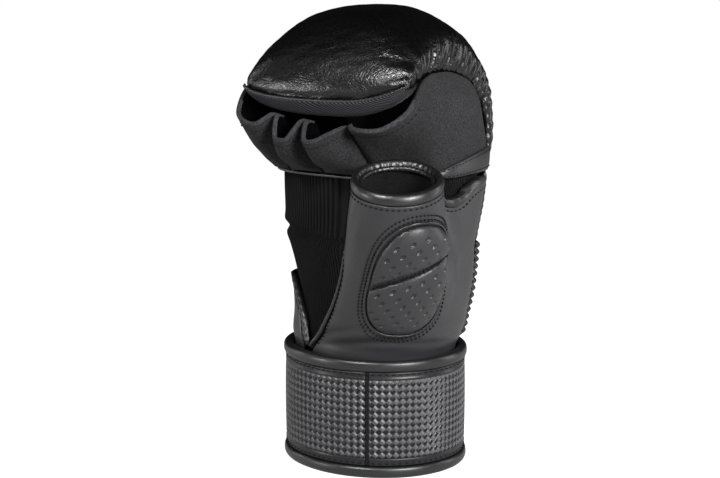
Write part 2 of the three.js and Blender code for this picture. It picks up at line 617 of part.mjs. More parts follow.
// The seam between the halves climbs across the oval
function ovalHalf(name, side) {
  const columns = 12;
  const limit = (across) => {
    const left = 1 - Math.abs(across / OVAL_HALF_WIDTH) ** OVAL_SQUARE;
    return OVAL_HALF_HEIGHT * Math.max(0, left) ** (1 / OVAL_SQUARE);
  };
  const place = (u, v, lifted) => {
    const across = -OVAL_HALF_WIDTH * OVAL_SEAM_REACH * Math.cos(Math.PI * u);
    const seam = OVAL_SEAM_LIFT + (OVAL_SEAM_RISE * across) / (2 * OVAL_HALF_WIDTH) + side * OVAL_SEAM_GAP;
    const along = seam + (side * limit(across) - seam) * v;
    const crown = Math.sin(Math.PI * u) ** 0.5 * Math.sin(Math.PI * v) ** 0.6;
    return ovalPoint(across, along, lifted ? OVAL_EDGE_LIFT + OVAL_PUFF * crown : 0);
  };
  add(name, "oval", wall((u, v) => place(u, v, true), (u, v) => place(u, v, false), columns, 5));
}

function thumbPad() {
  ovalHalf("thumb_pad_upper", 1);
  ovalHalf("thumb_pad_lower", -1);
  const grow = (OVAL_HALF_WIDTH + OVAL_PIPING + 2 * GAP) / OVAL_HALF_WIDTH;
  add("thumb_pad_piping", "binding", sweep(
    (t, [across, out]) => ovalPlace(grow + across / OVAL_HALF_WIDTH, 2 * Math.PI * t, OVAL_PIPING + out),
    roundSection(OVAL_PIPING, OVAL_PIPING, 5), 30, true,
  ));
}

function backOfHand() {
  const ribs = RIB_COUNT * 2;
  // The angle on the hand form just behind the thumb shell's back edge
  const behind = (z, margin) => {
    const coreX = read(SHELL_CORE, "z", "side", z);
    const coreY = read(SHELL_CORE, "z", "front", z);
    const limit = read(SHELL_EDGES, "z", "back", z) + margin;
    let degrees = 0;
    const clear = (offset) => {
      const p = handPoint(z, degrees, offset);
      return THREE.MathUtils.radToDeg(Math.atan2(p.y - coreY, p.x - coreX)) > limit;
    };
    while (!(clear(BACK_IN) && clear(SHELL_OUT + RIB_DEPTH))) degrees += 0.5;
    return degrees;
  };
  const ribZ = (v) => RIB_FOOT + RIB_PITCH * RIB_COUNT * v;
  const ridge = (v) => (Math.round(v * ribs) % 2) * RIB_DEPTH;
  add("flex_ribs", "back", wall(
    (u, v) => {
      const from = behind(ribZ(v), BACK_EDGE_MARGINS.ribs);
      return handPoint(ribZ(v), from + (BACK_EDGE_LEFT - from) * u, RIB_BASE + ridge(v));
    },
    (u, v) => {
      const from = behind(ribZ(v), BACK_EDGE_MARGINS.ribs);
      return handPoint(ribZ(v), from + (BACK_EDGE_LEFT - from) * u, BACK_IN);
    },
    7, ribs,
  ));
  const panelFoot = RIB_FOOT + RIB_PITCH * RIB_COUNT + GAP;
  const panelZ = (v) => panelFoot + (BACK_PANEL_TOP - panelFoot) * v;
  add("back_panel", "back", wall(
    (u, v) => {
      const from = behind(panelZ(v), BACK_EDGE_MARGINS.panel);
      return handPoint(panelZ(v), from + (BACK_PANEL_LEFT - from) * u, SHELL_OUT);
    },
    (u, v) => {
      const from = behind(panelZ(v), BACK_EDGE_MARGINS.panel);
      return handPoint(panelZ(v), from + (BACK_PANEL_LEFT - from) * u, BACK_IN);
    },
    10, 4,
  ));
  add("back_piping", "binding", sweep((t, [across, out]) => {
    const z = panelZ(t);
    const edge = behind(z, BACK_EDGE_MARGINS.piping);
    return handPoint(z, edge + across * BACK_PIPING_RADIUS, BACK_PIPING_OUT + out);
  }, roundSection(BACK_PIPING_RADIUS, BACK_PIPING_RADIUS, 6), 8));
}

function ulnarSide() {
  const foot = SHELL_FOOT;
  const top = ULNAR_EDGE[ULNAR_EDGE.length - 1].z;
  const height = (v) => foot + (top - foot) * v;
  const turn = (u, v) => {
    const z = height(v);
    const back = read(ULNAR_EDGE, "z", "back", z) + 0.5;
    return back + (read(ULNAR_EDGE, "z", "front", z) - back) * u;
  };
  add("ulnar_panel", "shell", wall(
    (u, v) => handPoint(height(v), turn(u, v), SHELL_OUT - GAP),
    (u, v) => handPoint(height(v), turn(u, v), BACK_IN),
    12, 6,
  ));
  add("ulnar_binding", "binding", sweep((t, [across, out]) => {
    const z = CUFF_HEIGHT + BINDING_CLEAR + (top - CUFF_HEIGHT - BINDING_CLEAR) * t;
    const edge = read(ULNAR_EDGE, "z", "front", z) + ULNAR_BINDING.setBack;
    return handPoint(z, edge + ULNAR_BINDING.reach * across, ULNAR_BINDING.out + out);
  }, roundSection(1.9, 1.5, 6), 10));
}

// A finger wall follows its table of foot and hem points and bellies out between them
function fingerWall(name) {
  const table = FINGER_WALLS[name];
  const rows = 4;
  const surface = (u, v) => {
    const at = u * (table.length - 1);
    const get = (column) => readRows(table, column, at);
    const bulge = get("belly") * Math.sin(Math.PI * v);
    const x = get("footX") + (get("hemX") - get("footX")) * v;
    const y = get("footY") + (get("hemY") - get("footY")) * v;
    const z = get("footZ") + (get("hemZ") - get("footZ")) * v;
    const outward = new THREE.Vector3(x, y, 0).normalize();
    return new THREE.Vector3(x + bulge * outward.x, y + bulge * outward.y, z - BELLY_DROP * bulge);
  };
  const inward = (u, v) => {
    const d = 0.01;
    const here = surface(u, v);
    const along = surface(Math.min(u + d, 1), v).sub(surface(Math.max(u - d, 0), v));
    const up = surface(u, Math.min(v + d, 1)).sub(surface(u, Math.max(v - d, 0)));
    const normal = along.cross(up).normalize();
    const side = table[0].footX > table[table.length - 1].footX ? 1 : -1;
    return here.addScaledVector(normal, side * NEOPRENE_WALL);
  };
  add(name, "neoprene", wall(surface, inward, name.endsWith("panel") ? 22 : 12, rows));
}

function fingerSection() {
  for (const name of Object.keys(FINGER_WALLS)) {
    fingerWall(name);
  }
  add("finger_binding_palm", "binding", sweep(
    (t, [across, rise]) => {
      const degrees = PALM_PIPING.from + (PALM_PIPING.to - PALM_PIPING.from) * t;
      return handPoint(FINGER_FOOT - PALM_PIPING.drop + rise, degrees, PALM_PIPING.out + across);
    },
    roundSection(PALM_PIPING.halfAcross, PALM_PIPING.halfAlong, 6), 16,
  ));
  // The leather band under the index panel widens towards the back of the hand
  const table = FINGER_WALLS.index_panel;
  const band = (t, across, rise) => {
    const at = INDEX_BAND.fromRow + (INDEX_BAND.toRow - INDEX_BAND.fromRow) * t;
    const top = readRows(table, "footZ", at) - GAP;
    const p = new THREE.Vector3(readRows(table, "footX", at), readRows(table, "footY", at), 0);
    const out = p.clone().normalize();
    return p.addScaledVector(out, across).setZ(FINGER_FOOT + (top - FINGER_FOOT) * rise);
  };
  add("finger_binding_index", "binding", wall(
    (u, v) => band(u, INDEX_BAND.out + INDEX_BAND.crown * Math.sin(Math.PI * v), v),
    (u, v) => band(u, INDEX_BAND.inside, v),
    12, 4,
  ));
}

// The knuckle pad is a crowned slab: its flanks close on the side seams, its front rim curls over the fingers
function padPoint(u, v, outside) {
  const at = v * (PAD_PROFILE.length - 1);
  const get = (column) => readRows(PAD_PROFILE, column, at);
  const turn = Math.PI * u;
  const flank = Math.cos(turn) > 0 ? "thumb" : "little";
  const corner = 2 / PAD_CORNER[flank];
  const across = Math.sign(Math.cos(turn)) * Math.abs(Math.cos(turn)) ** corner;
  const crown = Math.max(Math.sin(turn), 0) ** corner;
  const halfX = Math.abs(PAD_SIDE_X[flank]);
  const overhang = outside ? 1 + PAD_OVERHANG[flank] * 4 * crown * (1 - crown) : 1;
  const x = across * halfX * overhang;
  const toY = get(outside ? "crownY" : "bedY");
  const toZ = get(outside ? "crownZ" : "bedZ");
  const y = get("sideY") + (toY - get("sideY")) * crown;
  const z = get("sideZ") + (toZ - get("sideZ")) * crown;
  const skew = PAD_SKEW * x * THREE.MathUtils.clamp(-y / PAD_SKEW_FULL, 0, 1);
  return new THREE.Vector3(x, y + skew, z);
}

function knucklePad() {
  const lift = (u, v) => {
    const p = padPoint(u, v, true);
    const centre = new THREE.Vector3(0, 0, PAD_CORE_HEIGHT);
    const out = p.clone().sub(centre).setX(0).normalize();
    return p.addScaledVector(out, PAD_EDGE_WALL);
  };
  add("knuckle_pad", "knuckle_pad", wall(lift, (u, v) => padPoint(u, v, false), 22, 13));
  // The gathered fabric starts at the rim seam, rolls under the lip and runs back over the fingers
  const underPath = (u, t) => {
    if (t < UNDERSIDE_LIP_SHARE) {
      return lift(u, 1).lerp(padPoint(u, 1, false), t / UNDERSIDE_LIP_SHARE);
    }
    const last = PAD_PROFILE.length - 1;
    const back = (t - UNDERSIDE_LIP_SHARE) / (1 - UNDERSIDE_LIP_SHARE);
    return padPoint(u, 1 - back * (1 - UNDERSIDE_LAST_ROW / last), false);
  };
  const under = (u, v, depth) => {
    const across = UNDERSIDE_SIDE_MARGIN + (1 - 2 * UNDERSIDE_SIDE_MARGIN) * u;
    const t = UNDERSIDE_FRONT_MARGIN + (1 - UNDERSIDE_FRONT_MARGIN) * v;
    const d = 0.03;
    const along = underPath(across, Math.min(t + d, 1)).sub(underPath(across, Math.max(t - d, 0)));
    const away = new THREE.Vector3(0, along.z, -along.y).normalize();
    return underPath(across, t).addScaledVector(away, depth);
  };
  add("pad_underside", "pad_underside", wall(
    (u, v) => under(u, v, 2 * GAP + UNDERSIDE_WALL),
    (u, v) => under(u, v, 2 * GAP),
    16, 7,
  ));
}

cuff();
sleeve();
thumbShell();
thumbMouth();
webBinding();
thumbPad();
backOfHand();
ulnarSide();
fingerSection();
knucklePad();

// The frame's origin is under the middle of the whole glove, on the surface that it stands on
const extent = new THREE.Box3().setFromObject(glove).getCenter(new THREE.Vector3());
glove.position.set(-extent.x, -extent.y, 0);
glove.updateMatrixWorld(true);

export default glove;
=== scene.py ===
# %% [markdown]
# A right-hand sparring glove that stands on its wrist cuff. This file is a lesson in modelling soft goods.
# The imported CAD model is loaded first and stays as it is. Each of its pieces is then dressed: a finer piece is
# made on the same forms, with its folds, rolled edges, seams and grain, and stands in for the plain solid.

import bmesh
import bpy
import numpy as np
from mathutils import Matrix, Vector
from mathutils.kdtree import KDTree


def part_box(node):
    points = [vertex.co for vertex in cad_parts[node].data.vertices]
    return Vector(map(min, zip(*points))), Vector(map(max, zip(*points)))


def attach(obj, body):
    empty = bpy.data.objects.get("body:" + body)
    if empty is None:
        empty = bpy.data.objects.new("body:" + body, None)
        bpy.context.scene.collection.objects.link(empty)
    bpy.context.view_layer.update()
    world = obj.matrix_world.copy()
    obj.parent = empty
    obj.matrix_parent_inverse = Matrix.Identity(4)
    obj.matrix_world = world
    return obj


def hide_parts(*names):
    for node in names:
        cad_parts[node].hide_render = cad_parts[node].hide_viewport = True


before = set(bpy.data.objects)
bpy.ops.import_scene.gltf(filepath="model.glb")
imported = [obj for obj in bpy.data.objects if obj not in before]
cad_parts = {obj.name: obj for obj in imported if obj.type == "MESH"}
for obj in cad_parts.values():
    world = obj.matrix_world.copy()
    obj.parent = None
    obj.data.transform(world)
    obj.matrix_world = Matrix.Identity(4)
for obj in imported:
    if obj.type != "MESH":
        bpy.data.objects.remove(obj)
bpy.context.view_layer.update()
low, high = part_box("cuff_binding_bottom")
CUFF_CENTRE = np.array([(low[0] + high[0]) / 2, (low[1] + high[1]) / 2, 0.0])
MM = 0.001
print("nodes:", len(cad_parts), "cuff centre in mm:", np.round(CUFF_CENTRE / MM, 2))

# %% [markdown]
# The forms under the leather are the same short tables as in the CAD source, in millimetres from the middle of
# the cuff. A smooth curve runs through the rows of each table, so a piece can be read as finely as it needs.

# %% The tables of the forms


def table(columns, *rows):
    return {name: np.array([row[i] for row in rows], float) for i, name in enumerate(columns.split())}


HAND_FORM = table(
    "z side front halfWidth halfDepth square",
    (50, 0.0, 0.0, 40.4, 35.8, 2.0), (62, 0.0, 0.0, 40.4, 35.8, 2.0), (69, 1.0, 0.5, 42.4, 36.4, 2.1),
    (78, 2.2, 1.0, 43.4, 36.0, 2.1), (90, 2.6, 2.0, 44.6, 34.5, 2.3), (105, 0.6, 3.0, 47.6, 33.0, 2.5),
    (120, -1.6, 3.5, 50.8, 32.5, 2.6), (140, -0.8, 4.0, 53.2, 32.0, 2.8), (160, 0.0, 4.0, 53.4, 32.0, 3.0),
    (175, 0.0, 4.0, 53.4, 32.0, 3.0),
)
THUMB_FORM = table(
    "z side front radius",
    (50, 6.0, -4.0, 9.0), (62, 8.0, -5.0, 11.0), (70, 12.5, -10.0, 20.5), (78, 17.0, -15.0, 25.0),
    (90, 23.0, -21.5, 24.6), (110, 33.6, -32.1, 22.2), (130, 40.9, -41.0, 20.7), (157, 47.1, -49.7, 18.3),
    (172, 50.3, -53.2, 17.9),
)
SHELL_CORE = table("z side front", (50, 5, -4), (62, 6, -5), (110, 23, -15), (157, 36, -25), (172, 38, -27))
SHELL_EDGES = table(
    "z palm back",
    (56, -124, 34), (64, -120, 35), (75, -112, 39), (90, -105, 45), (105, -102, 52), (118, -105, 56),
    (135, -118, 61), (157, -128, 66),
)
WEB_EDGE = table("angle z", (-20, 158), (0, 147), (18, 140.5), (36, 141), (50, 146), (66, 150))
ULNAR_EDGE = table("z front", (57, 238), (66, 240), (78, 232), (88, 220), (97, 207))
FINGER_COLUMNS = "foot_x foot_y foot_z hem_x hem_y hem_z belly"
FINGER_WALLS = {
    "index_panel": table(
        FINGER_COLUMNS,
        (43.0, 34.2, 167, 41.5, 34.4, 173.5, 0), (49.8, 30.5, 167, 46.6, 29.5, 187, 0.4),
        (52.5, 23, 166, 48.0, 18, 199.8, 1.0), (54.5, 12, 165, 48.5, 4, 205.6, 1.5),
        (55, 0, 163, 48.8, -12, 208, 2.0), (54, -10, 161, 49.2, -28, 205.4, 1.0),
        (50, -17, 158, 49, -42, 190.5, -2.9), (42, -20, 156, 40, -51, 181.5, -5.0),
        (32, -23, 155, 30, -54.5, 180, -4.2), (24, -26, 155, 20, -52, 181, -1.0),
        (16.8, -26, 155, 12.8, -43, 182, 0.5),
    ),
    "middle_loop": table(
        FINGER_COLUMNS,
        (18.2, -28, 155, 14, -41, 181.6, 0), (17.5, -31, 155, 14, -48, 181.6, 1),
        (12, -32, 155, 10.5, -57, 178.4, 3.5), (3.5, -32, 155, 3.5, -60, 174.8, 4.5),
        (-5, -32, 155, -4, -59, 174.8, 3.5), (-10, -31.5, 155, -8.5, -51, 183, 1),
        (-10.5, -29.5, 155, -8.5, -43, 183, 0),
    ),
    "ring_loop": table(
        FINGER_COLUMNS,
        (-11.5, -29.5, 155, -9.6, -43, 183.2, 0), (-12, -31.5, 155, -10, -50.5, 183.2, 1),
        (-16, -32, 155, -12.5, -58.5, 175.2, 3.2), (-21.5, -31.8, 155, -17.5, -60, 173.8, 4),
        (-27.5, -31.5, 155, -23.5, -57.5, 175.4, 3.2), (-32, -31, 155, -27.8, -50, 185, 1),
        (-32.5, -29, 155, -28, -43, 185, 0),
    ),
    "little_panel": table(
        FINGER_COLUMNS,
        (-33.6, -28.5, 155, -29.2, -43, 185.4, 0), (-34, -30.6, 155, -29.6, -49.5, 185.4, 1),
        (-38.5, -30, 155, -34.5, -56, 181, 2.6), (-45, -27.5, 155, -42.5, -56.5, 181, 2.2),
        (-50.5, -21.5, 155, -50, -53.5, 186, 1.4), (-54, -12, 155, -52, -43, 198, 1.2),
        (-55.4, 0, 155, -51.5, -22, 207.3, 1.2), (-55.3, 13, 155, -51, 0, 206.2, 1.2),
        (-53.5, 24, 155, -50.2, 17, 200.2, 0.8), (-50, 31, 155, -47.8, 29.5, 188, 0.4),
        (-43.2, 34.2, 155, -41.8, 34.4, 174, 0),
    ),
}
PAD_PROFILE = table(
    "row side_y side_z crown_y crown_z bed_y bed_z",
    (0, 33.6, 157.5, 40.7, 157.0, 36.8, 156.6), (1, 34.6, 170.0, 44.6, 173.0, 37.6, 170.5),
    (2, 32.5, 183.5, 46.6, 192.5, 36.0, 184.0), (3, 26.0, 193.5, 43.0, 211.5, 30.0, 194.5),
    (4, 15.0, 201.0, 33.5, 226.5, 19.0, 202.0), (5, 3.0, 205.0, 18.5, 236.0, 5.0, 206.0),
    (6, -10.0, 207.0, 1.0, 239.2, -9.0, 206.5), (7, -21.0, 207.0, -16.5, 236.0, -20.0, 203.5),
    (8, -30.0, 206.0, -32.0, 227.0, -28.0, 198.0), (9, -36.5, 204.5, -43.5, 214.0, -34.0, 191.5),
    (10, -41.0, 202.5, -48.5, 201.8, -39.5, 188.2), (11, -42.0, 201.5, -48.5, 194.2, -43.5, 187.4),
)
print("forms:", len(FINGER_WALLS), "finger walls and", len(PAD_PROFILE["row"]), "sections of the knuckle pad")

# %% [markdown]
# A table is read with a curve that leaves each row in the direction of its neighbours, as a tailor's curve does.
# The other helpers give places on the forms: on the cuff, on the hand, and on the skin that melts the hand and
# the thumb into one.

# %% Read the tables and the forms


def read(rows, column, at, key="z"):
    keys, values = rows[key], rows[column]
    last = len(keys) - 1
    before, after = np.maximum(np.arange(last + 1) - 1, 0), np.minimum(np.arange(last + 1) + 1, last)
    slopes = (values[after] - values[before]) / (keys[after] - keys[before])
    x = np.clip(at, keys[0], keys[last])
    i = np.searchsorted(keys[1:-1], x, side="left")
    step = keys[i + 1] - keys[i]
    t = (x - keys[i]) / step
    hold = (2 * t**3 - 3 * t**2 + 1) * values[i] + (3 * t**2 - 2 * t**3) * values[i + 1]
    return hold + (t**3 - 2 * t**2 + t) * step * slopes[i] + (t**3 - t**2) * step * slopes[i + 1]


def read_all(rows, at, key="z"):
    return {column: read(rows, column, at, key) for column in rows if column != key}


def unit(value):
    """Holds a value between 0 and 1."""
    return np.clip(value, 0, 1)


def signed_power(value, power):
    return np.sign(value) * np.abs(value) ** power


def cos(degrees):
    return np.cos(np.radians(degrees))


def sin(degrees):
    return np.sin(np.radians(degrees))


def stack(x, y, z):
    return np.stack(np.broadcast_arrays(x, y, z), axis=-1).astype(float)


CUFF_HALF_WIDTH, CUFF_HALF_DEPTH = 49.6, 45.0


def cuff_point(z, degrees, inset):
    return stack((CUFF_HALF_WIDTH - inset) * cos(degrees), (CUFF_HALF_DEPTH - inset) * sin(degrees), z)


def hand_point(z, degrees, offset):
    form = read_all(HAND_FORM, z)
    power = 2 / form["square"]
    x = form["side"] + (form["halfWidth"] + offset) * signed_power(cos(degrees), power)
    y = form["front"] + (form["halfDepth"] + offset) * signed_power(sin(degrees), power)
    return stack(x, y, z)


def thumb_point(degrees, z, offset):
    form = read_all(THUMB_FORM, z)
    radius = form["radius"] + offset
    return stack(form["side"] + radius * cos(degrees), form["front"] + radius * sin(degrees), z)


THUMB_BLEND, FARTHEST, HALVINGS = 14.0, 110.0, 22


def skin_point(z, degrees, offset):
    """Where a ray from the shell's core line leaves the melted skin, moved out by an offset."""
    z, degrees, offset = np.broadcast_arrays(np.asarray(z, float), degrees, offset)
    hand, thumb, core = (read_all(form, z) for form in (HAND_FORM, THUMB_FORM, SHELL_CORE))
    c, s = cos(degrees), sin(degrees)
    near, far = np.zeros(z.shape), np.full(z.shape, FARTHEST)
    for _ in range(HALVINGS):
        middle = (near + far) / 2
        x, y = core["side"] + middle * c, core["front"] + middle * s
        across = np.abs((x - hand["side"]) / hand["halfWidth"])
        deep = np.abs((y - hand["front"]) / hand["halfDepth"])
        grow = (across ** hand["square"] + deep ** hand["square"] + 1e-12) ** (1 / hand["square"])
        outside_hand = (1 - 1 / grow) * np.hypot(x - hand["side"], y - hand["front"])
        outside_thumb = np.hypot(x - thumb["side"], y - thumb["front"]) - thumb["radius"]
        mix = unit(0.5 + 0.5 * (outside_thumb - outside_hand) / THUMB_BLEND)
        distance = outside_thumb + (outside_hand - outside_thumb) * mix - THUMB_BLEND * mix * (1 - mix)
        inside = distance < offset
        near, far = np.where(inside, middle, near), np.where(inside, far, middle)
    return stack(core["side"] + near * c, core["front"] + near * s, z)


print("cuff at the thumb side:", cuff_point(30, 0, 0), "shell:", skin_point(110, -45, 4.3).round(2))

# %% [markdown]
# Nearly every piece is a sheet or a roll, so each starts as one flat grid whose points are then moved into place.
# That keeps the faces even, and the grid's own UV map becomes a ruler in metres along the cloth, which ribs,
# weave and stitches can follow. A piece whose two sides meet is merged along that line.


def add_object(name, data):
    new_object = bpy.data.objects.new(name, data)
    bpy.context.scene.collection.objects.link(new_object)
    return new_object


def finish_piece(name, bm, material, slot, node_name=None):
    """Makes a piece of a mesh and lets it stand in for a node of the CAD model, if one is named."""
    mesh = bpy.data.meshes.new(name)
    bm.to_mesh(mesh)
    bm.free()
    mesh.shade_smooth()
    mesh.materials.append(material)
    piece = add_object(name, mesh)
    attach(piece, "root")
    if node_name:
        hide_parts(node_name)
    print(f"{name}: {len(mesh.polygons)} faces")
    return piece


def to_metres(points):
    return np.asarray(points, float) * MM + CUFF_CENTRE


def laid_grid(columns, rows, place, ruler=(1.0, 1.0), join_u=False, join_v=False, cap=False):
    """A flat grid with place(u, v) in millimetres for its points; ruler is its size in millimetres."""
    bm = bmesh.new()
    bm.loops.layers.uv.new("UVMap")
    bmesh.ops.create_grid(bm, x_segments=columns, y_segments=rows, size=1.0, calc_uvs=True)
    flat = np.array([v.co[:] for v in bm.verts])
    points = to_metres(place((flat[:, 0] + 1) / 2, (flat[:, 1] + 1) / 2))
    for vert, point in zip(bm.verts, points):
        vert.co = point
    uv = bm.loops.layers.uv.active
    for face in bm.faces:
        for loop in face.loops:
            loop[uv].uv = (loop[uv].uv[0] * ruler[0] * MM, loop[uv].uv[1] * ruler[1] * MM)
    if join_u or join_v:
        bmesh.ops.remove_doubles(bm, verts=bm.verts, dist=2e-6)
    if cap:
        bmesh.ops.holes_fill(bm, edges=[e for e in bm.edges if e.is_boundary], sides=0)
    if join_v and (cap or join_u):
        bmesh.ops.recalc_face_normals(bm, faces=bm.faces)
    return bm


def face_away(bm, from_point):
    """Turns an open sheet so that its faces look away from a point in millimetres."""
    centre = Vector(to_metres(np.array(from_point, float)))
    bm.normal_update()
    looks = sum((f.normal.dot(f.calc_center_median() - centre) * f.calc_area() for f in bm.faces), 0.0)
    if looks < 0:
        bmesh.ops.reverse_faces(bm, faces=bm.faces)


def thicken(piece, wall, inside=None):
    """Gives a sheet its wall, inwards, with another material on the inside if one is given."""
    solid = piece.modifiers.new("wall", "SOLIDIFY")
    solid.thickness = wall * MM
    solid.offset = -1.0
    solid.use_quality_normals = True
    if inside:
        piece.data.materials.append(inside)
        solid.material_offset = 1


def sewn(name, columns, rows, place, ruler, material, slot, node_name, wall, away=None, inside=None, join=False):
    """A piece cut from one sheet: a grid put in place, turned away from a point inside it and given its wall."""
    bm = laid_grid(columns, rows, place, ruler, join_u=join)
    if away is not None:
        face_away(bm, away)
    piece = finish_piece(name, bm, material, slot, node_name)
    thicken(piece, wall, inside)
    return piece


def freeze(piece):
    """Turns what the modifiers make into the piece's own mesh."""
    bpy.context.view_layer.update()
    made_mesh = bpy.data.meshes.new_from_object(piece.evaluated_get(bpy.context.evaluated_depsgraph_get()))
    old, piece.data = piece.data, made_mesh
    piece.modifiers.clear()
    bpy.data.meshes.remove(old)
    made_mesh.name = piece.name


def uneven(points, size, seed):
    """Soft unevenness from -1 to 1 over points in millimetres, with swells of about that size."""
    rng = np.random.RandomState(seed)
    total = np.zeros(len(points))
    for _ in range(9):
        direction = rng.normal(size=3)
        direction *= rng.uniform(0.7, 1.5) / np.linalg.norm(direction)
        total += np.sin(points @ direction * 2 * np.pi / size + rng.uniform(0, 2 * np.pi))
    return total / 4.5


def ruler_of(piece):
    """Where each vertex lies on the piece's own ruler, in millimetres."""
    loops = piece.data.loops
    vertex, uv = np.empty(len(loops), int), np.empty(len(loops) * 2)
    loops.foreach_get("vertex_index", vertex)
    piece.data.uv_layers[0].data.foreach_get("uv", uv)
    on_piece = np.zeros((len(piece.data.vertices), 2))
    on_piece[vertex] = uv.reshape(-1, 2) / MM
    return on_piece


def keep(piece, name, values):
    """Keeps one number for each vertex in the mesh, for a material to read."""
    piece.data.attributes.new(name, "FLOAT", "POINT").data.foreach_set("value", values)


def one_long(vectors):
    """The same directions, each with a length of one."""
    return vectors / np.linalg.norm(vectors, axis=-1, keepdims=True)


def outwards(place, u, v, step=0.004):
    """The direction square to a surface at (u, v), by what it does a little further on."""
    along = place(np.minimum(u + step, 1), v) - place(np.maximum(u - step, 0), v)
    up = place(u, np.minimum(v + step, 1)) - place(u, np.maximum(v - step, 0))
    normal = np.cross(along, up)
    return normal / (np.linalg.norm(normal, axis=-1, keepdims=True) + 1e-12)


print("helpers ready")

# %% [markdown]
# Colours are read off as the sRGB values that a screen shows and turned linear once. One small function adds a
# node with its settings and its links, and every finish below is drawn with it.

# %% Colour and node helpers


def tone(hex_value):
    channels = [int(hex_value[i : i + 2], 16) / 255 for i in (1, 3, 5)]
    return (*[c / 12.92 if c <= 0.04045 else ((c + 0.055) / 1.055) ** 2.4 for c in channels], 1.0)


def node(material, kind, links=(), **settings):
    made_node = material.node_tree.nodes.new("ShaderNode" + kind)
    for key, value in settings.items():
        setattr(made_node, key, value)
    for socket, value in dict(links).items():
        if isinstance(value, bpy.types.NodeSocket):
            material.node_tree.links.new(value, made_node.inputs[socket])
        else:
            made_node.inputs[socket].default_value = value
    return made_node


def new_material(name):
    material = bpy.data.materials.new(name)
    material.use_nodes = True
    material.node_tree.nodes.clear()
    return material


def surface(material, colour, roughness, normal, **constants):
    links = {"Base Color": colour, "Roughness": roughness, "Normal": normal}
    links.update({key.replace("_", " "): value for key, value in constants.items()})
    shader = node(material, "BsdfPrincipled", links)
    node(material, "OutputMaterial", {"Surface": shader.outputs[0]})
    return material


def blend(material, factor, dark, light):
    """Mixes two colours, each a hex value or what comes out of a node."""
    dark, light = (tone(colour) if isinstance(colour, str) else colour for colour in (dark, light))
    return node(material, "Mix", {0: factor, 6: dark, 7: light}, data_type="RGBA").outputs[2]


def span(material, value, low_in, high_in, low_out=0.0, high_out=1.0, ramp="LINEAR"):
    links = {0: value, 1: low_in, 2: high_in, 3: low_out, 4: high_out}
    return node(material, "MapRange", links, interpolation_type=ramp).outputs[0]


def calc(material, operation, a, b):
    return node(material, "Math", {0: a, 1: b}, operation=operation).outputs[0]


def noise(material, place, scale, detail=2.0):
    return node(material, "TexNoise", {"Vector": place, "Scale": scale, "Detail": detail}).outputs


def cells(material, place, size, randomness=1.0):
    """The distance to the nearest edge between cells of about that size in millimetres."""
    links = {"Vector": place, "Scale": 1000.0 / size, "Randomness": randomness}
    return node(material, "TexVoronoi", links, feature="DISTANCE_TO_EDGE").outputs["Distance"]


def bump(material, strength, depth, height, under=None):
    """Relief of a depth in millimetres, laid over another bump if one is given."""
    links = {"Strength": strength, "Distance": depth * MM, "Height": height}
    if under is not None:
        links["Normal"] = under
    return node(material, "Bump", links).outputs[0]


print("one tone:", [round(c, 4) for c in tone("#4b4b4d")[:3]])

# %% [markdown]
# The glove's shell is smooth polyurethane-coated leather. Its colour is nearly even, and what tells it from
# plastic is a fine pebble of about 0.8 mm cells, pressed in by an embossing roller, with slow waves under it.
# The knuckle pad is a glossier, near-black coat that has creased into fine lines where it is stretched over foam.

# %% Coated leather, in several dresses
PEBBLE, LEATHER_WALL = 0.8, 1.6


def leather(name, dark, light, roughness, pebble_depth, crease, crease_depth, worn, specular=0.5, creased=""):
    """creased names an attribute that says where the coat is creased. Below 0 the leather is bare and matte."""
    material = new_material(name)
    place = node(material, "TexCoord").outputs["Object"]
    slow, fine = noise(material, place, 28.0, 4.0)[0], noise(material, place, 900.0, 3.0)[0]
    edge = node(material, "NewGeometry").outputs["Pointiness"]
    colour = blend(material, span(material, slow, 0.3, 0.7), dark, light)
    colour = blend(material, span(material, edge, 0.53, 0.66, 0.0, 0.4), colour, worn)
    bend = noise(material, place, 90.0)["Color"]
    bent = node(material, "VectorMath", {0: bend, 1: (0.008, 0.008, 0.008)}, operation="MULTIPLY").outputs[0]
    moved = node(material, "VectorMath", {0: place, 1: bent}, operation="ADD").outputs[0]
    turned = node(material, "Mapping", {"Vector": moved, "Rotation": (0, 0.2, 0.2), "Scale": (1.0, 1.0, 1.8)})
    creases = span(material, cells(material, turned.outputs[0], crease), 0.0, 0.3, ramp="SMOOTHSTEP")
    rough = span(material, fine, 0.3, 0.7, roughness - 0.05, roughness + 0.07)
    if creased:
        kept = node(material, "Attribute", attribute_name=creased).outputs["Fac"]
        rough = calc(material, "ADD", rough, span(material, kept, -0.5, 0.0, 0.6, 0.0))
        creases = calc(material, "MULTIPLY", creases, span(material, kept, 0.0, 1.0))
    pebbles = bump(material, 0.5, pebble_depth, span(material, cells(material, place, PEBBLE, 0.9), 0.0, 0.3))
    normal = bump(material, 1.0, crease_depth, creases, pebbles)
    return surface(material, colour, rough, normal, Specular_IOR_Level=specular)


PAD_LEATHER = leather(
    "glossy_creased_leather", "#030304", "#060607", 0.31, 0.0, 2.7, 0.075, "#101012", creased="creased")
SHELL_LEATHER = leather("satin_coated_leather", "#28282a", "#2e2e30", 0.42, 0.02, 9.0, 0.02, "#454548")
BINDING_LEATHER = leather(
    "rolled_binding_leather", "#0d0d0e", "#131314", 0.38, 0.003, 5.0, 0.0, "#242427", specular=0.7)
PANEL_LEATHER = leather("dark_back_leather", "#1a1a1c", "#222224", 0.45, 0.03, 8.0, 0.04, "#39393c")
print("leathers: 4")
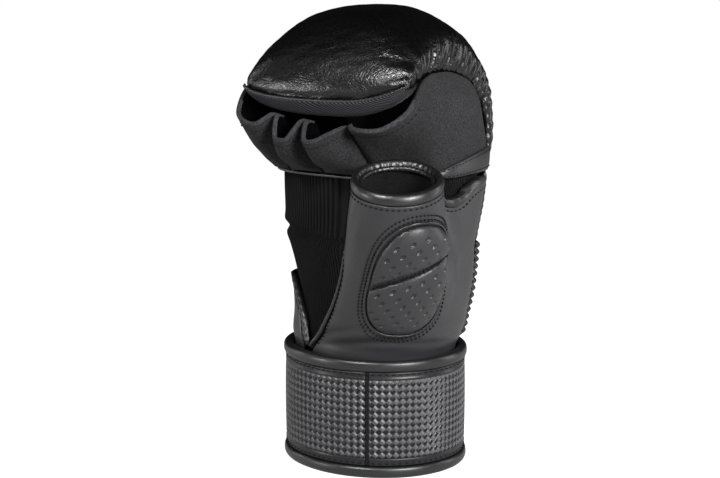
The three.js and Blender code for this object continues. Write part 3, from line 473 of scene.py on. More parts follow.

# %% [markdown]
# Neoprene is foam rubber with a thin knitted face: nearly black, matte, with a faint fuzz that lights up at grazing
# angles. Its knit is about 0.5 mm, too fine for the render, so it is drawn at 0.75 mm. Its inside is painted
# near-black, a painted shade that makes the finger openings look deep. The elastic of the sleeve is woven in vertical
# ribs. Where they stand up is kept in the mesh as an attribute, which gives the relief and also paints the rib tops
# lighter and the grooves darker: a painted highlight and painted shade.

# %% Cloths
KNIT, FOAM_WALL = 0.75, 2.2


def cloth(name, dark, light, ribs, rib_depth, fuzz, sheen, shine=0.2):
    """ribs names the attribute that draws raised ribs on the cloth and paints their tops lighter and their grooves
    darker, as painted highlight and shade, or is empty where it has none.
    """
    material = new_material(name)
    place = node(material, "TexCoord").outputs["Object"]
    slow = noise(material, place, 45.0, 3.0)[0]
    speckle = span(material, noise(material, place, 1000.0 / KNIT)[0], 0.35, 0.68)
    if ribs:
        height = node(material, "Attribute", attribute_name=ribs).outputs["Fac"]
        # Painted highlight and painted shade: raised parts of the attribute are coloured lighter and its hollows
        # darker.
        shade = span(material, height, 0.35, 0.95)
    else:
        height = speckle
        shade = span(material, calc(material, "MULTIPLY", slow, speckle), 0.0, 0.7)
    normal = bump(material, 0.6, fuzz, speckle, bump(material, 0.8, rib_depth, height))
    rough = span(material, slow, 0.3, 0.7, 0.84, 0.95)
    return surface(material, blend(material, shade, dark, light), rough, normal, Sheen_Weight=sheen,
                   Sheen_Roughness=0.4, Specular_IOR_Level=shine)


NEOPRENE = cloth("knit_faced_neoprene", "#19191a", "#3b3b3d", "", 0.14, 0.06, 0.02)
# Painted highlight: the hem's lighter grey stands in for the light line that the turned edge catches.
HEM = cloth("neoprene_hem_painted_highlight", "#29292b", "#545457", "", 0.1, 0.05, 0.03)
# The light tones of the elastic and the lining are painted highlights on rib tops and gather crests.
ELASTIC = cloth("ribbed_elastic", "#010102", "#151517", "rib", 0.6, 0.04, 0.0)
LINING = cloth("matte_lining_fabric", "#020203", "#464649", "gather", 0.3, 0.05, 0.08)
INNER = cloth("dark_inner_fabric", "#070708", "#1d1d1f", "", 0.1, 0.08, 0.04)
THREAD = cloth("bonded_thread", "#09090a", "#161618", "", 0.02, 0.02, 0.03)
# Painted shade: the inside of the neoprene walls is coloured near-black so that the finger openings look deep.
SHADE_DARKENED_INSIDE = cloth("knit_inside_painted_shade", "#010101", "#060607", "", 0.1, 0.05, 0.0, shine=0.05)
print("cloths: 7")

# %% [markdown]
# A stitch on such seams is a short bead of thick bonded thread, about 2.5 mm long, pulled a little into the
# leather. A round bead is stretched along the seam, once for each stitch, and all stitches of a seam are one piece.
# The path of a seam is measured first, so that the stitches stay the same length however it curves.

# %% Stitches along a path
STITCH = (2.5, 3.5, 0.62, 0.42)


def lengths_along(points):
    """How far along a path of points each one lies, or each point of a grid along its columns."""
    steps = np.linalg.norm(np.diff(points, axis=0), axis=-1)
    return np.concatenate([np.zeros((1, *steps.shape[1:])), np.cumsum(steps, axis=0)])


def paced(path, pitch):
    """Places at an even pace along a path of points, with the index of each in the path."""
    lengths = lengths_along(path)
    count = max(int(lengths[-1] / pitch), 2)
    wanted = (np.arange(count) + 0.5) * lengths[-1] / count
    return np.interp(wanted, lengths, np.arange(len(path)))


def at_index(points, index):
    low_index = np.floor(index).astype(int).clip(0, len(points) - 2)
    share = (index - low_index)[:, None]
    return points[low_index] * (1 - share) + points[low_index + 1] * share


def sew(name, seams, slot, size=STITCH):
    """seams is a list of (path, outward directions); size is a stitch's length, pitch, width and height."""
    length, pitch, width, height = size
    stretch = Matrix.Diagonal((length / 2 * MM, width / 2 * MM, height * MM, 1.0))
    bm = bmesh.new()
    for path, out in seams:
        index = paced(path, pitch)
        middles = to_metres(at_index(path, index))
        along = at_index(path, np.minimum(index + 0.5, len(path) - 1)) - at_index(path, np.maximum(index - 0.5, 0))
        normals = at_index(out, index)
        for middle, way, normal in zip(middles, along, normals):
            x = Vector(way).normalized()
            z = (Vector(normal) - x * Vector(normal).dot(x)).normalized()
            turn = Matrix((x, z.cross(x), z)).transposed().to_4x4()
            shape = Matrix.Translation(middle) @ turn @ stretch
            bmesh.ops.create_icosphere(bm, subdivisions=1, radius=1.0, matrix=shape)
    return finish_piece(name, bm, THREAD, slot)


print("a stitch's length, pitch, width and height:", STITCH)

# %% [markdown]
# The strap's leather is pressed with strips that run two ways. Each strip catches the light along its length, so
# strips of one direction look darker than those of the other. That is drawn as a checker of two greys, turned by
# 45 degrees on the ruler, with one square for each place where a strip is on top.

# %% Embossed strap leather
STRIP = 2.5
HUMPS = 2 * np.pi / 20 / (STRIP * MM)
CUFF_HEIGHT, BINDING_HEIGHT = 62.4, 6.2
FOOT, TOP = BINDING_HEIGHT + 0.35, CUFF_HEIGHT - BINDING_HEIGHT - 0.35
WEAVE_FOOT, WEAVE_TOP = 10.6, 51.6


def strap_leather(name, dark, light, plain, worn, roughness):
    material = new_material(name)
    coordinates = node(material, "TexCoord").outputs
    ruler, place = coordinates["UV"], coordinates["Object"]
    offset = FOOT * MM / np.sqrt(2)
    turned = node(material, "Mapping", {
        "Vector": ruler, "Rotation": (0, 0, -np.pi / 4), "Location": (offset, offset, 0)}).outputs[0]
    checker = node(material, "TexChecker", {
        "Vector": turned, "Scale": 1000.0 / STRIP, "Color1": tone(dark), "Color2": tone(light)}).outputs
    height = node(material, "SeparateXYZ", {0: ruler}).outputs[1]
    foot, top = (WEAVE_FOOT - FOOT) * MM, (WEAVE_TOP - FOOT) * MM
    above_foot = span(material, height, foot, foot + 0.3 * MM)
    below_top = span(material, height, top, top + 0.3 * MM, 1.0, 0.0)
    woven = calc(material, "MULTIPLY", above_foot, below_top)
    slow = noise(material, place, 60.0, 3.0)[0]
    colour = blend(material, woven, plain, checker["Color"])
    colour = blend(material, span(material, slow, 0.35, 0.75, 0.0, 0.25), colour, worn)
    one_way, other_way = (
        node(material, "TexWave", {"Vector": turned, "Scale": HUMPS}, bands_direction=way).outputs["Fac"]
        for way in "XY")
    strips = node(material, "Mix", {0: checker["Fac"], 2: one_way, 3: other_way}).outputs[0]
    normal = bump(material, 1.0, 0.4, calc(material, "MULTIPLY", strips, woven))
    rough = span(material, slow, 0.3, 0.7, roughness - 0.04, roughness + 0.06)
    return surface(material, colour, rough, normal, Specular_IOR_Level=0.4)


STRAP_LEATHER = strap_leather("embossed_strap_leather", "#020202", "#5e5e61", "#1c1c1e", "#1b1b1d", 0.36)
print("embossed leather ready")

# %% [markdown]
# The cuff is a padded wrist strap. Its edges are bound with a folded strip of leather, which makes a round roll of
# about 6 mm. The roll's section is a squared-off oval that is carried round.
# The lower one stands on the floor, so its underside is pressed flat.

# %% The cuff's rolled edges
ROUND = 360.0


def squared(turn, power):
    return signed_power(np.cos(turn), power), signed_power(np.sin(turn), power)


def cuff_roll(name, lower):
    def place(u, v):
        across, rise = squared(2 * np.pi * v, 0.72)
        swell = 0.25 * np.sin(2 * np.pi * u * 3 + 0.7) * unit(rise)
        z = BINDING_HEIGHT / 2 * (1 + rise * 0.995) + (0 if lower else swell)
        inset = 1.9 - across * 2.7
        return cuff_point(z if lower else CUFF_HEIGHT - BINDING_HEIGHT + z - 0.25, ROUND * u, inset)

    bm = laid_grid(352, 20, place, (298, 18), join_u=True, join_v=True)
    finish_piece(name, bm, BINDING_LEATHER, "binding_leather", name.replace("rolled_", ""))


cuff_roll("rolled_cuff_binding_bottom", True)
cuff_roll("rolled_cuff_binding_top", False)

# %% [markdown]
# Inside is the band that the strap wraps round, a plain tube. Outside are the two panels of the strap. Their leather
# is embossed with a basket weave of strips about 2.5 mm wide that run at 45 degrees, between two thin raised lines.
# The relief is deep enough to catch the light on every strip, so it is real relief in a fine grid. The bump of the
# material only makes each strip rounder.

# %% The band and the two embossed panels
STRAP = (STRAP_LEATHER, "strap_leather")
STRAP_GIRTH = 297


def basket(s, z):
    """Height from 0 to 1 of strips that pass over and under each other at 45 degrees."""
    a, b = (s + z) / np.sqrt(2) / STRIP, (s - z) / np.sqrt(2) / STRIP
    fa, fb = a % 1, b % 1
    over = (np.floor(a) + np.floor(b)) % 2 < 1
    across, along = np.where(over, fb, fa), np.where(over, fa, fb)
    return np.sin(np.pi * across) ** 0.55 * (0.45 + 0.55 * np.sin(np.pi * along) ** 0.7)


def band_place(u, v):
    return cuff_point(FOOT + (TOP - FOOT) * v, ROUND * u, 2.4)


sewn("cuff_lining_band", 144, 12, band_place, (295, 50), PANEL_LEATHER, "strap_leather", "cuff_band", 2.1, join=True)


def strap_panel(name, start, end, node_name):
    width = (end - start) / ROUND * STRAP_GIRTH

    def place(u, v):
        z, s = FOOT + (TOP - FOOT) * v, width * u
        edge = np.minimum(s, width - s)
        fade = unit((z - WEAVE_FOOT) / 0.8) * unit((WEAVE_TOP - z) / 0.8) * unit((edge - 0.5) / 0.5)
        relief = 0.3 * fade * basket(s, z)
        for line in (WEAVE_FOOT - 1.0, WEAVE_TOP + 1.0):
            relief = relief + 0.45 * np.exp(-(((z - line) / 0.42) ** 2))
        relief = relief - 0.5 * unit(1 - edge / 0.7) ** 2
        puff = 0.5 * np.sin(np.pi * v) ** 0.6
        return cuff_point(z, start + (end - start) * u, 0.75 - puff - relief)

    columns, rows = int(width / 0.5), int((TOP - FOOT) / 0.5)
    sewn(name, columns, rows, place, (width, TOP - FOOT), *STRAP, node_name, 1.0)


strap_panel("embossed_panel_thumb_side", -62.0, 95.6, "strap_panel_thumb_side")
strap_panel("embossed_panel_palm_side", 96.4 - 360, -64.0, "strap_panel_palm_side")


def groove_place(u, v):
    return cuff_point(FOOT + (TOP - FOOT) * v, -65.0 + 4.0 * u, 0.9)


sewn("groove_strip", 10, 30, groove_place, (3.4, 49), INNER, "strap_leather", None, 0.6)

# %% [markdown]
# The strap's end overlaps at the back and is held down by hook and loop. It is a plain padded tab with rounded
# corners and a frame of stitches. A square grid gets round corners by moving each corner's points onto an arc.

# %% The strap's end and the cuff's stitches


def rounded(x, y, half_x, half_y, radius):
    """Moves the corners of a rectangle's points onto arcs of that radius."""
    over_x, over_y = np.abs(x) - (half_x - radius), np.abs(y) - (half_y - radius)
    corner = (over_x > 0) & (over_y > 0)
    reach = np.maximum(over_x, over_y)
    length = np.hypot(over_x, over_y) + 1e-9
    new_x = np.where(corner, np.sign(x) * (half_x - radius + over_x / length * reach), x)
    new_y = np.where(corner, np.sign(y) * (half_y - radius + over_y / length * reach), y)
    return new_x, new_y


TAB_HALF_WIDTH, TAB_HALF_HEIGHT, TAB_CORNER = 18.7, 20, 5.0
TAB_DEGREES, TAB_MIDDLE, TAB_REACH = 95, 31, 46.4


def tab_place(u, v, lift=0.0, shrink=0.0):
    x, y = (2 * u - 1) * TAB_HALF_WIDTH, (2 * v - 1) * TAB_HALF_HEIGHT
    x, y = rounded(x, y, TAB_HALF_WIDTH, TAB_HALF_HEIGHT, TAB_CORNER)
    x, y = x * (1 - shrink / TAB_HALF_WIDTH), y * (1 - shrink / TAB_HALF_HEIGHT)
    edge = 2 * np.minimum(np.minimum(u, 1 - u) * TAB_HALF_WIDTH, np.minimum(v, 1 - v) * TAB_HALF_HEIGHT)
    crown = 1.6 + 0.7 * unit(edge / 6) ** 0.5 - 0.9 * unit(1 - edge / 1.4) ** 2
    return cuff_point(TAB_MIDDLE + y, TAB_DEGREES + np.degrees(x / TAB_REACH), -0.4 - crown - lift)


sewn("strap_end_tab", 72, 76, tab_place, (37, 40), BINDING_LEATHER, "strap_leather", "strap_end", 1.2)

circle = np.linspace(0, 1, 721)


def cuff_seam(z, inset):
    path = cuff_point(np.full_like(circle, z), ROUND * circle, inset)
    return path, stack(cos(ROUND * circle), sin(ROUND * circle), 0.0)


square_turn = np.linspace(0, 4, 401)
side = np.floor(square_turn).clip(0, 3)
share = square_turn - side
sides = [side == 0, side == 1, side == 2]
tab_u, tab_v = np.select(sides, [share, 1, 1 - share], 0), np.select(sides, [0, share, 1], 1 - share)
tab_path = tab_place(tab_u, tab_v, -0.25, 3.2)
tab_out = stack(cos(TAB_DEGREES), sin(TAB_DEGREES), 0.0) * np.ones((len(tab_path), 1))
sew("cuff_stitches", [cuff_seam(7.7, 0.35), cuff_seam(54.8, 0.35), (tab_path, tab_out)], "strap_leather")

# %% [markdown]
# The sleeve round the hand is woven elastic with raised ribs. Above the folded crease they are about 1.9 mm apart,
# and below it the elastic is slack and they close up to 1.3 mm. The ribs are real relief, and the part of the tube
# where the thumb goes through is cut away.

# %% The ribbed elastic sleeve
CREASE, RIBS_ABOVE, RIBS_BELOW = 121.0, 157, 235
SLEEVE_FOOT, HAND_TOP, SLEEVE_GIRTH = 54.0, 154.4, 304
CHANNEL_FOOT, CHANNEL_PLAY = 84, 4.9


def ribs_of(u, z):
    """Height of the ribs from 0 to 1: closer together below the crease."""
    return np.abs(np.cos(np.pi * u * np.where(z > CREASE, RIBS_ABOVE, RIBS_BELOW))) ** 1.3


def sleeve_place(u, v):
    z = SLEEVE_FOOT + (HAND_TOP - SLEEVE_FOOT) * v
    drop = 2.2 * np.sin(2 * np.pi * u * 2 + 1.0) + 1.2 * np.sin(2 * np.pi * u * 5)
    away = z - CREASE - drop
    swells = ((1.7, 0.0, 1.9), (-0.6, 4.0, 3.0), (-0.5, -4.4, 3.2))
    fold = sum(height * np.exp(-(((away - middle) / width) ** 2)) for height, middle, width in swells)
    waves = 0.5 * uneven(stack(u * 300, z * 0.6, 0 * z), 46, 3) * unit((z - 62) / 10)
    return hand_point(z, ROUND * u, -0.8 - fold + 0.5 * ribs_of(u, z) + waves * 0.6)


sleeve = laid_grid(942, 72, sleeve_place, (SLEEVE_GIRTH, HAND_TOP - SLEEVE_FOOT), join_u=True)
channel = []
for face in sleeve.faces:
    x, y, z = (np.array(face.calc_center_median()) - CUFF_CENTRE) / MM
    if z > CHANNEL_FOOT:
        reach = np.hypot(x - read(THUMB_FORM, "side", z), y - read(THUMB_FORM, "front", z))
        if reach < read(THUMB_FORM, "radius", z) + CHANNEL_PLAY:
            channel.append(face)
bmesh.ops.delete(sleeve, geom=channel, context="FACES")
elastic_sleeve = finish_piece("elastic_sleeve", sleeve, ELASTIC, "ribbed_elastic", "ribbed_sleeve")
on_cloth = ruler_of(elastic_sleeve)
# The rib heights also colour the elastic: painted highlight on the rib tops, painted shade in the grooves.
keep(elastic_sleeve, "rib", ribs_of(on_cloth[:, 0] / SLEEVE_GIRTH, SLEEVE_FOOT + on_cloth[:, 1]))
thicken(elastic_sleeve, 1.2)

# %% [markdown]
# The thumb shell is one big panel of smooth leather that wraps the ball of the thumb and the thumb sleeve and runs to
# the back of the hand. It lies on the melted skin of hand and thumb, with a few soft folds above the cuff where the
# wrist bends, and a faint sag beside the oval pad.

# %% The thumb shell
SHELL_FOOT, SHELL_ROWS = 57.0, 10.0
SHELL_IN, SHELL_OUT = 2.3, 4.3
RIM_CENTRE, RIM_LEAN, RIM_TOWARDS = np.array([47.1, -49.7, 157.0]), 18.0, -55.0
RIM_HALF_HEIGHT = 2.8


def rim_height(x, y):
    away = (x - RIM_CENTRE[0]) * cos(RIM_TOWARDS) + (y - RIM_CENTRE[1]) * sin(RIM_TOWARDS)
    return RIM_CENTRE[2] - np.tan(np.radians(RIM_LEAN)) * away


shell_degrees = np.linspace(-135, 75, 421)
shell_top = np.full_like(shell_degrees, RIM_CENTRE[2])
for _ in range(6):
    edge_points = skin_point(shell_top, shell_degrees, SHELL_OUT)
    shell_top = np.minimum(rim_height(edge_points[:, 0], edge_points[:, 1]), 170) - RIM_HALF_HEIGHT - 0.35
web_top = np.minimum(shell_top, read(WEB_EDGE, "z", shell_degrees, "angle"))
shell_top = np.where(shell_degrees < -20, shell_top, web_top)


def shell_coordinates(u, v):
    z = np.full(np.shape(u), 110.0)
    for _ in range(8):
        palm, back = read(SHELL_EDGES, "palm", z), read(SHELL_EDGES, "back", z)
        degrees = palm + (back - palm) * u
        top = np.interp(degrees, shell_degrees, shell_top)
        row = v * SHELL_ROWS
        tuck = SHELL_FOOT + (CUFF_HEIGHT - SHELL_FOOT) * row
        z = np.where(row <= 1, tuck, CUFF_HEIGHT + (top - CUFF_HEIGHT) * (row - 1) / (SHELL_ROWS - 1))
    return z, degrees


FOLDS = (  # degrees, height, turn, length, width and depth
    (-95, 76, 18, 20, 2.6, 0.9), (-70, 71, 8, 26, 2.4, 0.8), (-20, 70, -6, 24, 2.4, 0.7),
    (10, 74, -14, 22, 2.8, 0.8), (-112, 96, 70, 16, 3.0, 0.5), (-8, 96, 40, 22, 3.4, 0.6),
    (22, 108, 60, 20, 3.0, 0.6), (-88, 138, 80, 12, 2.4, 0.4),
)


def shell_folds(degrees, z):
    relief = np.zeros(np.shape(z))
    for at, height, turn, length, width, depth in FOLDS:
        x, y = (degrees - at) * 0.62, z - height
        along, across = x * cos(turn) + y * sin(turn), y * cos(turn) - x * sin(turn)
        dent = np.exp(-((along / length) ** 2) - (across / width) ** 2)
        ridge = np.exp(-((along / length) ** 2) - ((across - 2 * width) / (1.3 * width)) ** 2)
        relief += depth * (0.45 * ridge - dent)
    return relief * unit((z - 62) / 5)


def shell_place(u, v):
    z, degrees = shell_coordinates(u, v)
    soft = 0.22 * uneven(stack(degrees * 0.6, z, 0 * z), 24, 11) * unit((z - 66) / 12)
    turned_in = 0.5 * unit(1 - np.minimum(u, 1 - u) / 0.012) ** 2
    return skin_point(z, degrees, SHELL_OUT - 0.2 + shell_folds(degrees, z) * 0.8 + soft - turned_in)


SHELL = (SHELL_LEATHER, "shell_leather")
sewn("thumb_shell_leather", 300, 180, shell_place, (170, 95), *SHELL, "thumb_shell", 1.7, (24, -15, 100))

# %% [markdown]
# Where leather ends it is bound: a strip is folded round the edge and sewn, so the edge becomes a roll. Each roll is
# a grid wrapped round its path, with small puckers between the stitches. The path comes from the same edge tables
# as the leather, so the roll follows whatever the edge does.

# %% Rolled bindings of the shell


def roll(name, steps, place, length, puckers, node_name, closed=False, sides=18, pucker=0.09, material=None):
    """place(t, across, out) is in millimetres; across and out go round the section from -1 to 1."""
    waves = max(int(length / puckers), 1)

    def around(u, v):
        across, out = squared(2 * np.pi * v, 0.9)
        gather = 1 + pucker * np.cos(2 * np.pi * u * waves) * unit(out + 0.3)
        ends = 1.0 if closed else unit(np.minimum(u, 1 - u) * length / 1.6) ** 0.5 * 0.9 + 0.1
        return place(u, across * gather * ends, out * gather * ends)

    bm = laid_grid(steps, sides, around, (length, 10), join_u=closed, join_v=True, cap=not closed)
    finish_piece(name, bm, material or BINDING_LEATHER, "binding_leather", node_name)


def facing_place(t, across, out):
    z = CUFF_HEIGHT + 0.6 + 70 * t
    degrees = read(SHELL_EDGES, "palm", z) - 4.4 - 2.5 * across
    return skin_point(z, degrees, 2.9 + 1.75 * out)


def web_place(t, across, out):
    degrees = -6 + 68 * t
    z = read(WEB_EDGE, "z", degrees, "angle") + 2.7 + 2.6 * out
    return skin_point(z, degrees, (SHELL_IN + SHELL_OUT) / 2 + 2.3 * across)


def rim_point(degrees, offset, rise):
    point = thumb_point(degrees, RIM_CENTRE[2], offset)
    for _ in range(6):
        point = thumb_point(degrees, rim_height(point[..., 0], point[..., 1]), offset)
    return point + stack(0, 0, rise)


def rim_place(t, across, out):
    degrees = ROUND * t
    far_side = unit(0.5 - 0.7 * cos(degrees + 50))
    gathers = 0.22 * far_side * np.cos(2 * np.pi * t * 34) * unit(-across)
    return rim_point(degrees, 2.4 + 2.0 * across + gathers, RIM_HALF_HEIGHT * out - 0.2 * far_side)


roll("facing_roll", 150, facing_place, 92, 6.0, "facing_binding", pucker=0.04)
roll("web_roll", 90, web_place, 62, 7.0, "web_binding", pucker=0.04)
roll("thumb_mouth_roll", 240, rim_place, 135, 4.4, "thumb_rim", closed=True, sides=24, pucker=0.008)


def inner_rim_place(t, across, out):
    gathers = 0.1 * np.cos(2 * np.pi * t * 40)
    return rim_point(ROUND * t, -0.5 + (1.0 + gathers) * across, -0.6 + 1.2 * out)


roll("thumb_mouth_inner_roll", 240, inner_rim_place, 115, 3.0, None, closed=True, sides=14, pucker=0.02)


def on_shell(z, degrees):
    path = skin_point(z, degrees, SHELL_OUT - 0.1)
    return path, skin_point(z, degrees, SHELL_OUT + 2.0) - path


facing_heights = np.linspace(66, 133, 90)
web_run = (shell_degrees > -4) & (shell_degrees < 62)
rim_run = (shell_degrees > -128) & (shell_degrees < -22)
sew("shell_stitches", [
    on_shell(shell_top[rim_run] - 1.6, shell_degrees[rim_run]),
    on_shell(shell_top[web_run] - 1.8, shell_degrees[web_run]),
    on_shell(facing_heights, read(SHELL_EDGES, "palm", facing_heights) + 2.2),
], "shell_leather", (2.0, 2.8, 0.8, 0.45))

# %% [markdown]
# The thumb sleeve is lined, and its far wall shows inside the mouth. It is a curved sheet of dark fabric.

# %% The thumb sleeve's inner wall


def back_place(u, v):
    degrees = 20 + 180 * u
    top = rim_point(degrees, 1.1, -RIM_HALF_HEIGHT + 0.5)[..., 2]
    return thumb_point(degrees, top - 24 * (1 - v), 1.1)


sewn("thumb_sleeve_lining", 90, 36, back_place, (46, 24), INNER, "shell_leather", "thumb_sleeve_back", 1.2,
     (45, -44, 145))

# %% [markdown]
# The oval on the thumb is a patch of foam under leather, sewn down along its edge and across its middle, so it puffs
# in two halves. Each half starts as a flat-bottomed lens and is blown up by a cloth simulation. The staggered
# dimples are pressed in by a hot tool after that, about 6 mm apart, so here too they come after the stuffing.

# %% Blow up a stuffed piece
STUFFING = {"quality": 5, "mass": 0.3, "tension_stiffness": 12, "compression_stiffness": 12,
            "bending_stiffness": 0.6, "use_pressure": True}
FILLING_FRAMES = 20


def lens(name, columns, rows, place, near, material, slot, node_name):
    """A closed shape from an outer and an inner grid, bridged along their edges."""
    bm = bmesh.new()
    for outer in (True, False):
        grid = laid_grid(columns, rows, lambda u, v: place(u, v, outer))
        part = bpy.data.meshes.new("part")
        grid.to_mesh(part)
        grid.free()
        bm.from_mesh(part)
        bpy.data.meshes.remove(part)
    bmesh.ops.bridge_loops(bm, edges=[e for e in bm.edges if e.is_boundary])
    bmesh.ops.remove_doubles(bm, verts=bm.verts, dist=near)
    bmesh.ops.recalc_face_normals(bm, faces=bm.faces)
    return finish_piece(name, bm, material, slot, node_name)


def vertex_values(mesh, what="co"):
    values = np.empty(len(mesh.vertices) * 3)
    mesh.vertices.foreach_get(what, values)
    return values.reshape(-1, 3)


def inflate(piece, voxel, pressure, cap, held=None):
    """Remeshes a closed shape, lets cloth under pressure fill it, and stops each point at cap millimetres."""
    remesh = piece.modifiers.new("even_mesh", "REMESH")
    remesh.mode = "VOXEL"
    remesh.voxel_size = voxel * MM
    freeze(piece)
    start = vertex_values(piece.data)
    stuffing = piece.modifiers.new("stuffing", "CLOTH")
    settings = stuffing.settings
    for setting, value in STUFFING.items():
        setattr(settings, setting, value)
    settings.uniform_pressure_force = pressure
    settings.effector_weights.gravity = 0
    if held is not None:
        group = piece.vertex_groups.new(name="sewn_down")
        group.add([int(i) for i in np.nonzero(held(start))[0]], 1.0, "REPLACE")
        settings.vertex_group_mass = "sewn_down"
    for step in range(1, FILLING_FRAMES + 1):
        bpy.context.scene.frame_set(step)
    moved = vertex_values(piece.evaluated_get(bpy.context.evaluated_depsgraph_get()).data) - start
    length = np.linalg.norm(moved, axis=1, keepdims=True) + 1e-12
    moved *= cap * MM * np.tanh(length / (cap * MM)) / length
    piece.modifiers.remove(stuffing)
    piece.data.vertices.foreach_set("co", (start + moved).ravel())
    piece.data.update()
    bpy.context.scene.frame_set(1)
    print(f"{piece.name}: moved {length.mean() / MM:.1f} mm on average, capped at {cap} mm")


def subdivide_piece(piece, levels):
    smooth = piece.modifiers.new("smooth", "SUBSURF")
    smooth.levels = smooth.render_levels = levels
    freeze(piece)
    piece.data.shade_smooth()


def points_of(piece):
    return (vertex_values(piece.data) - CUFF_CENTRE) / MM


def set_points(piece, points):
    piece.data.vertices.foreach_set("co", to_metres(points).ravel())
    piece.data.update()


def tree_of(points):
    tree = KDTree(len(points))
    for i, point in enumerate(points):
        tree.insert(point, i)
    tree.balance()
    return tree


# %% [markdown]
# The halves are closed lenses: a grid for the top and one for the bottom, bridged along their edges. The oval's own
# coordinates run across and along it in millimetres on the leather, and the dimples are spaced in them.

# %% The two halves of the oval pad
OVAL_AT, OVAL_Z, OVAL_LEAN = -44.0, 107.5, 3.0
OVAL_WIDE, OVAL_HIGH, OVAL_SQUARE = 21.0, 30.0, 2.4
SEAM_RISE, SEAM_LIFT = 19.0, 5.0


def oval_point(across, along, lift):
    c, s = cos(OVAL_LEAN), sin(OVAL_LEAN)
    right, up = across * c + along * s, along * c - across * s
    z = OVAL_Z + up
    middle = skin_point(z, OVAL_AT, SHELL_OUT)
    core = read_all(SHELL_CORE, z)
    reach = np.hypot(middle[..., 0] - core["side"], middle[..., 1] - core["front"])
    return skin_point(z, OVAL_AT + np.degrees(right / reach), SHELL_OUT + 0.35 + lift)


def seam_along(across):
    return SEAM_LIFT + SEAM_RISE * across / (2 * OVAL_WIDE)


def half_place(u, v, half, top):
    across = -OVAL_WIDE * np.cos(np.pi * u)
    left = 1 - np.abs(across / OVAL_WIDE) ** OVAL_SQUARE
    limit = OVAL_HIGH * np.maximum(0, left) ** (1 / OVAL_SQUARE)
    seam = seam_along(across) + half * 0.7
    far = half * np.maximum(limit + 0.6, half * seam + 0.3)
    along = seam + (far - seam) * v
    crown = np.sin(np.pi * u) ** 0.55 * np.sin(np.pi * v) ** 0.55
    return oval_point(across, along, (0.4 + 4.4 * crown) if top else -0.15)


ruler_across, ruler_along = (
    axis.ravel() for axis in np.meshgrid(np.linspace(-22, 22, 89), np.linspace(-31, 31, 125)))
oval_ruler = oval_point(ruler_across, ruler_along, 1.5)
oval_tree = tree_of(oval_ruler)


def oval_coordinates(points):
    index = np.array([oval_tree.find(p)[1] for p in points])
    base = oval_ruler[index]
    across, along = ruler_across[index], ruler_along[index]
    step_a = oval_point(across + 0.5, along, 1.5) - base
    step_b = oval_point(across, along + 0.5, 1.5) - base
    away = points - base
    across = across + 0.5 * np.sum(away * step_a, axis=1) / np.sum(step_a**2, axis=1)
    along = along + 0.5 * np.sum(away * step_b, axis=1) / np.sum(step_b**2, axis=1)
    return across, along


DIMPLE_ACROSS, DIMPLE_ALONG, DIMPLE_RADIUS, DIMPLE_DEPTH = 6.4, 5.0, 1.3, 1.1


def dimples(across, along, half):
    """Depth from 0 to 1 of dimples in staggered rows, on one half of the oval and clear of its edges."""
    y = along - seam_along(across) * 0.9
    row = np.round(y / DIMPLE_ALONG)
    stagger = np.where(row % 2 == 0, 0.0, DIMPLE_ACROSS / 2)
    column = np.round((across - stagger) / DIMPLE_ACROSS)
    centre_x = column * DIMPLE_ACROSS + stagger
    dx, dy = across - stagger - column * DIMPLE_ACROSS, y - row * DIMPLE_ALONG
    centre_y = row * DIMPLE_ALONG + seam_along(centre_x) * 0.9
    ring = np.abs(centre_x / OVAL_WIDE) ** OVAL_SQUARE + np.abs(centre_y / OVAL_HIGH) ** OVAL_SQUARE
    from_seam = half * (centre_y - seam_along(centre_x))
    wanted = (ring < 0.8) & (from_seam > 2.6)
    shape = unit(1 - (np.hypot(dx, dy) / DIMPLE_RADIUS) ** 2) ** 0.9
    return np.where(wanted, shape, 0.0)


def oval_half(name, half, node_name):
    piece = lens(name, 44, 26, lambda u, v, top: half_place(u, v, half, top), 5e-5, *SHELL, node_name)
    inflate(piece, voxel=1.1, pressure=4.0, cap=1.6)
    subdivide_piece(piece, 2)
    points, normals = points_of(piece), vertex_values(piece.data, "normal")
    across, along = oval_coordinates(points)
    away = oval_point(across, along, 5.0) - oval_point(across, along, 0.0)
    outer = unit(np.sum(normals * away, axis=1) / 4)
    set_points(piece, points - normals * (DIMPLE_DEPTH * outer * dimples(across, along, half))[:, None])


oval_half("oval_pad_upper", 1, "thumb_pad_upper")
oval_half("oval_pad_lower", -1, "thumb_pad_lower")

# %% [markdown]
# Round the oval runs a thin dark piping, and outside it two rows of stitches hold the patch to the shell. A third row
# crosses the oval in the groove between the halves.

# %% Piping and stitches of the oval


def oval_ring(t, grow, lift):
    across, along = squared(2 * np.pi * t, 2 / OVAL_SQUARE)
    return oval_point((OVAL_WIDE + grow) * across, (OVAL_HIGH + grow) * along, lift)


roll(
    "oval_piping", 220, lambda t, across, out: oval_ring(t, 1.5 + 0.8 * across, 0.35 + 0.75 * out), 165, 3.4,
    "thumb_pad_piping", closed=True, sides=12, pucker=0.05,
)
ring_steps = np.linspace(0, 1, 361)


def oval_seam(grow):
    path = oval_ring(ring_steps, grow, -0.25)
    return path, oval_ring(ring_steps, grow, 3.0) - path


across_steps = np.linspace(-19.5, 19.5, 60)
middle_path = oval_point(across_steps, seam_along(across_steps), 0.35)
middle_out = oval_point(across_steps, seam_along(across_steps), 4.0) - middle_path
OVAL_STITCH = (1.5, 2.2, 1.0, 0.5)
sew("oval_stitches", [oval_seam(3.1), oval_seam(5.2), (middle_path, middle_out)], "shell_leather", OVAL_STITCH)

# %% [markdown]
# Across the back of the wrist the leather is moulded into an accordion of ribs, 3.9 mm apart, so that the wrist can
# bend. Above them lies a plain panel with a piping on its edge. A panel of leather on the little-finger side ends
# in a rolled edge too.

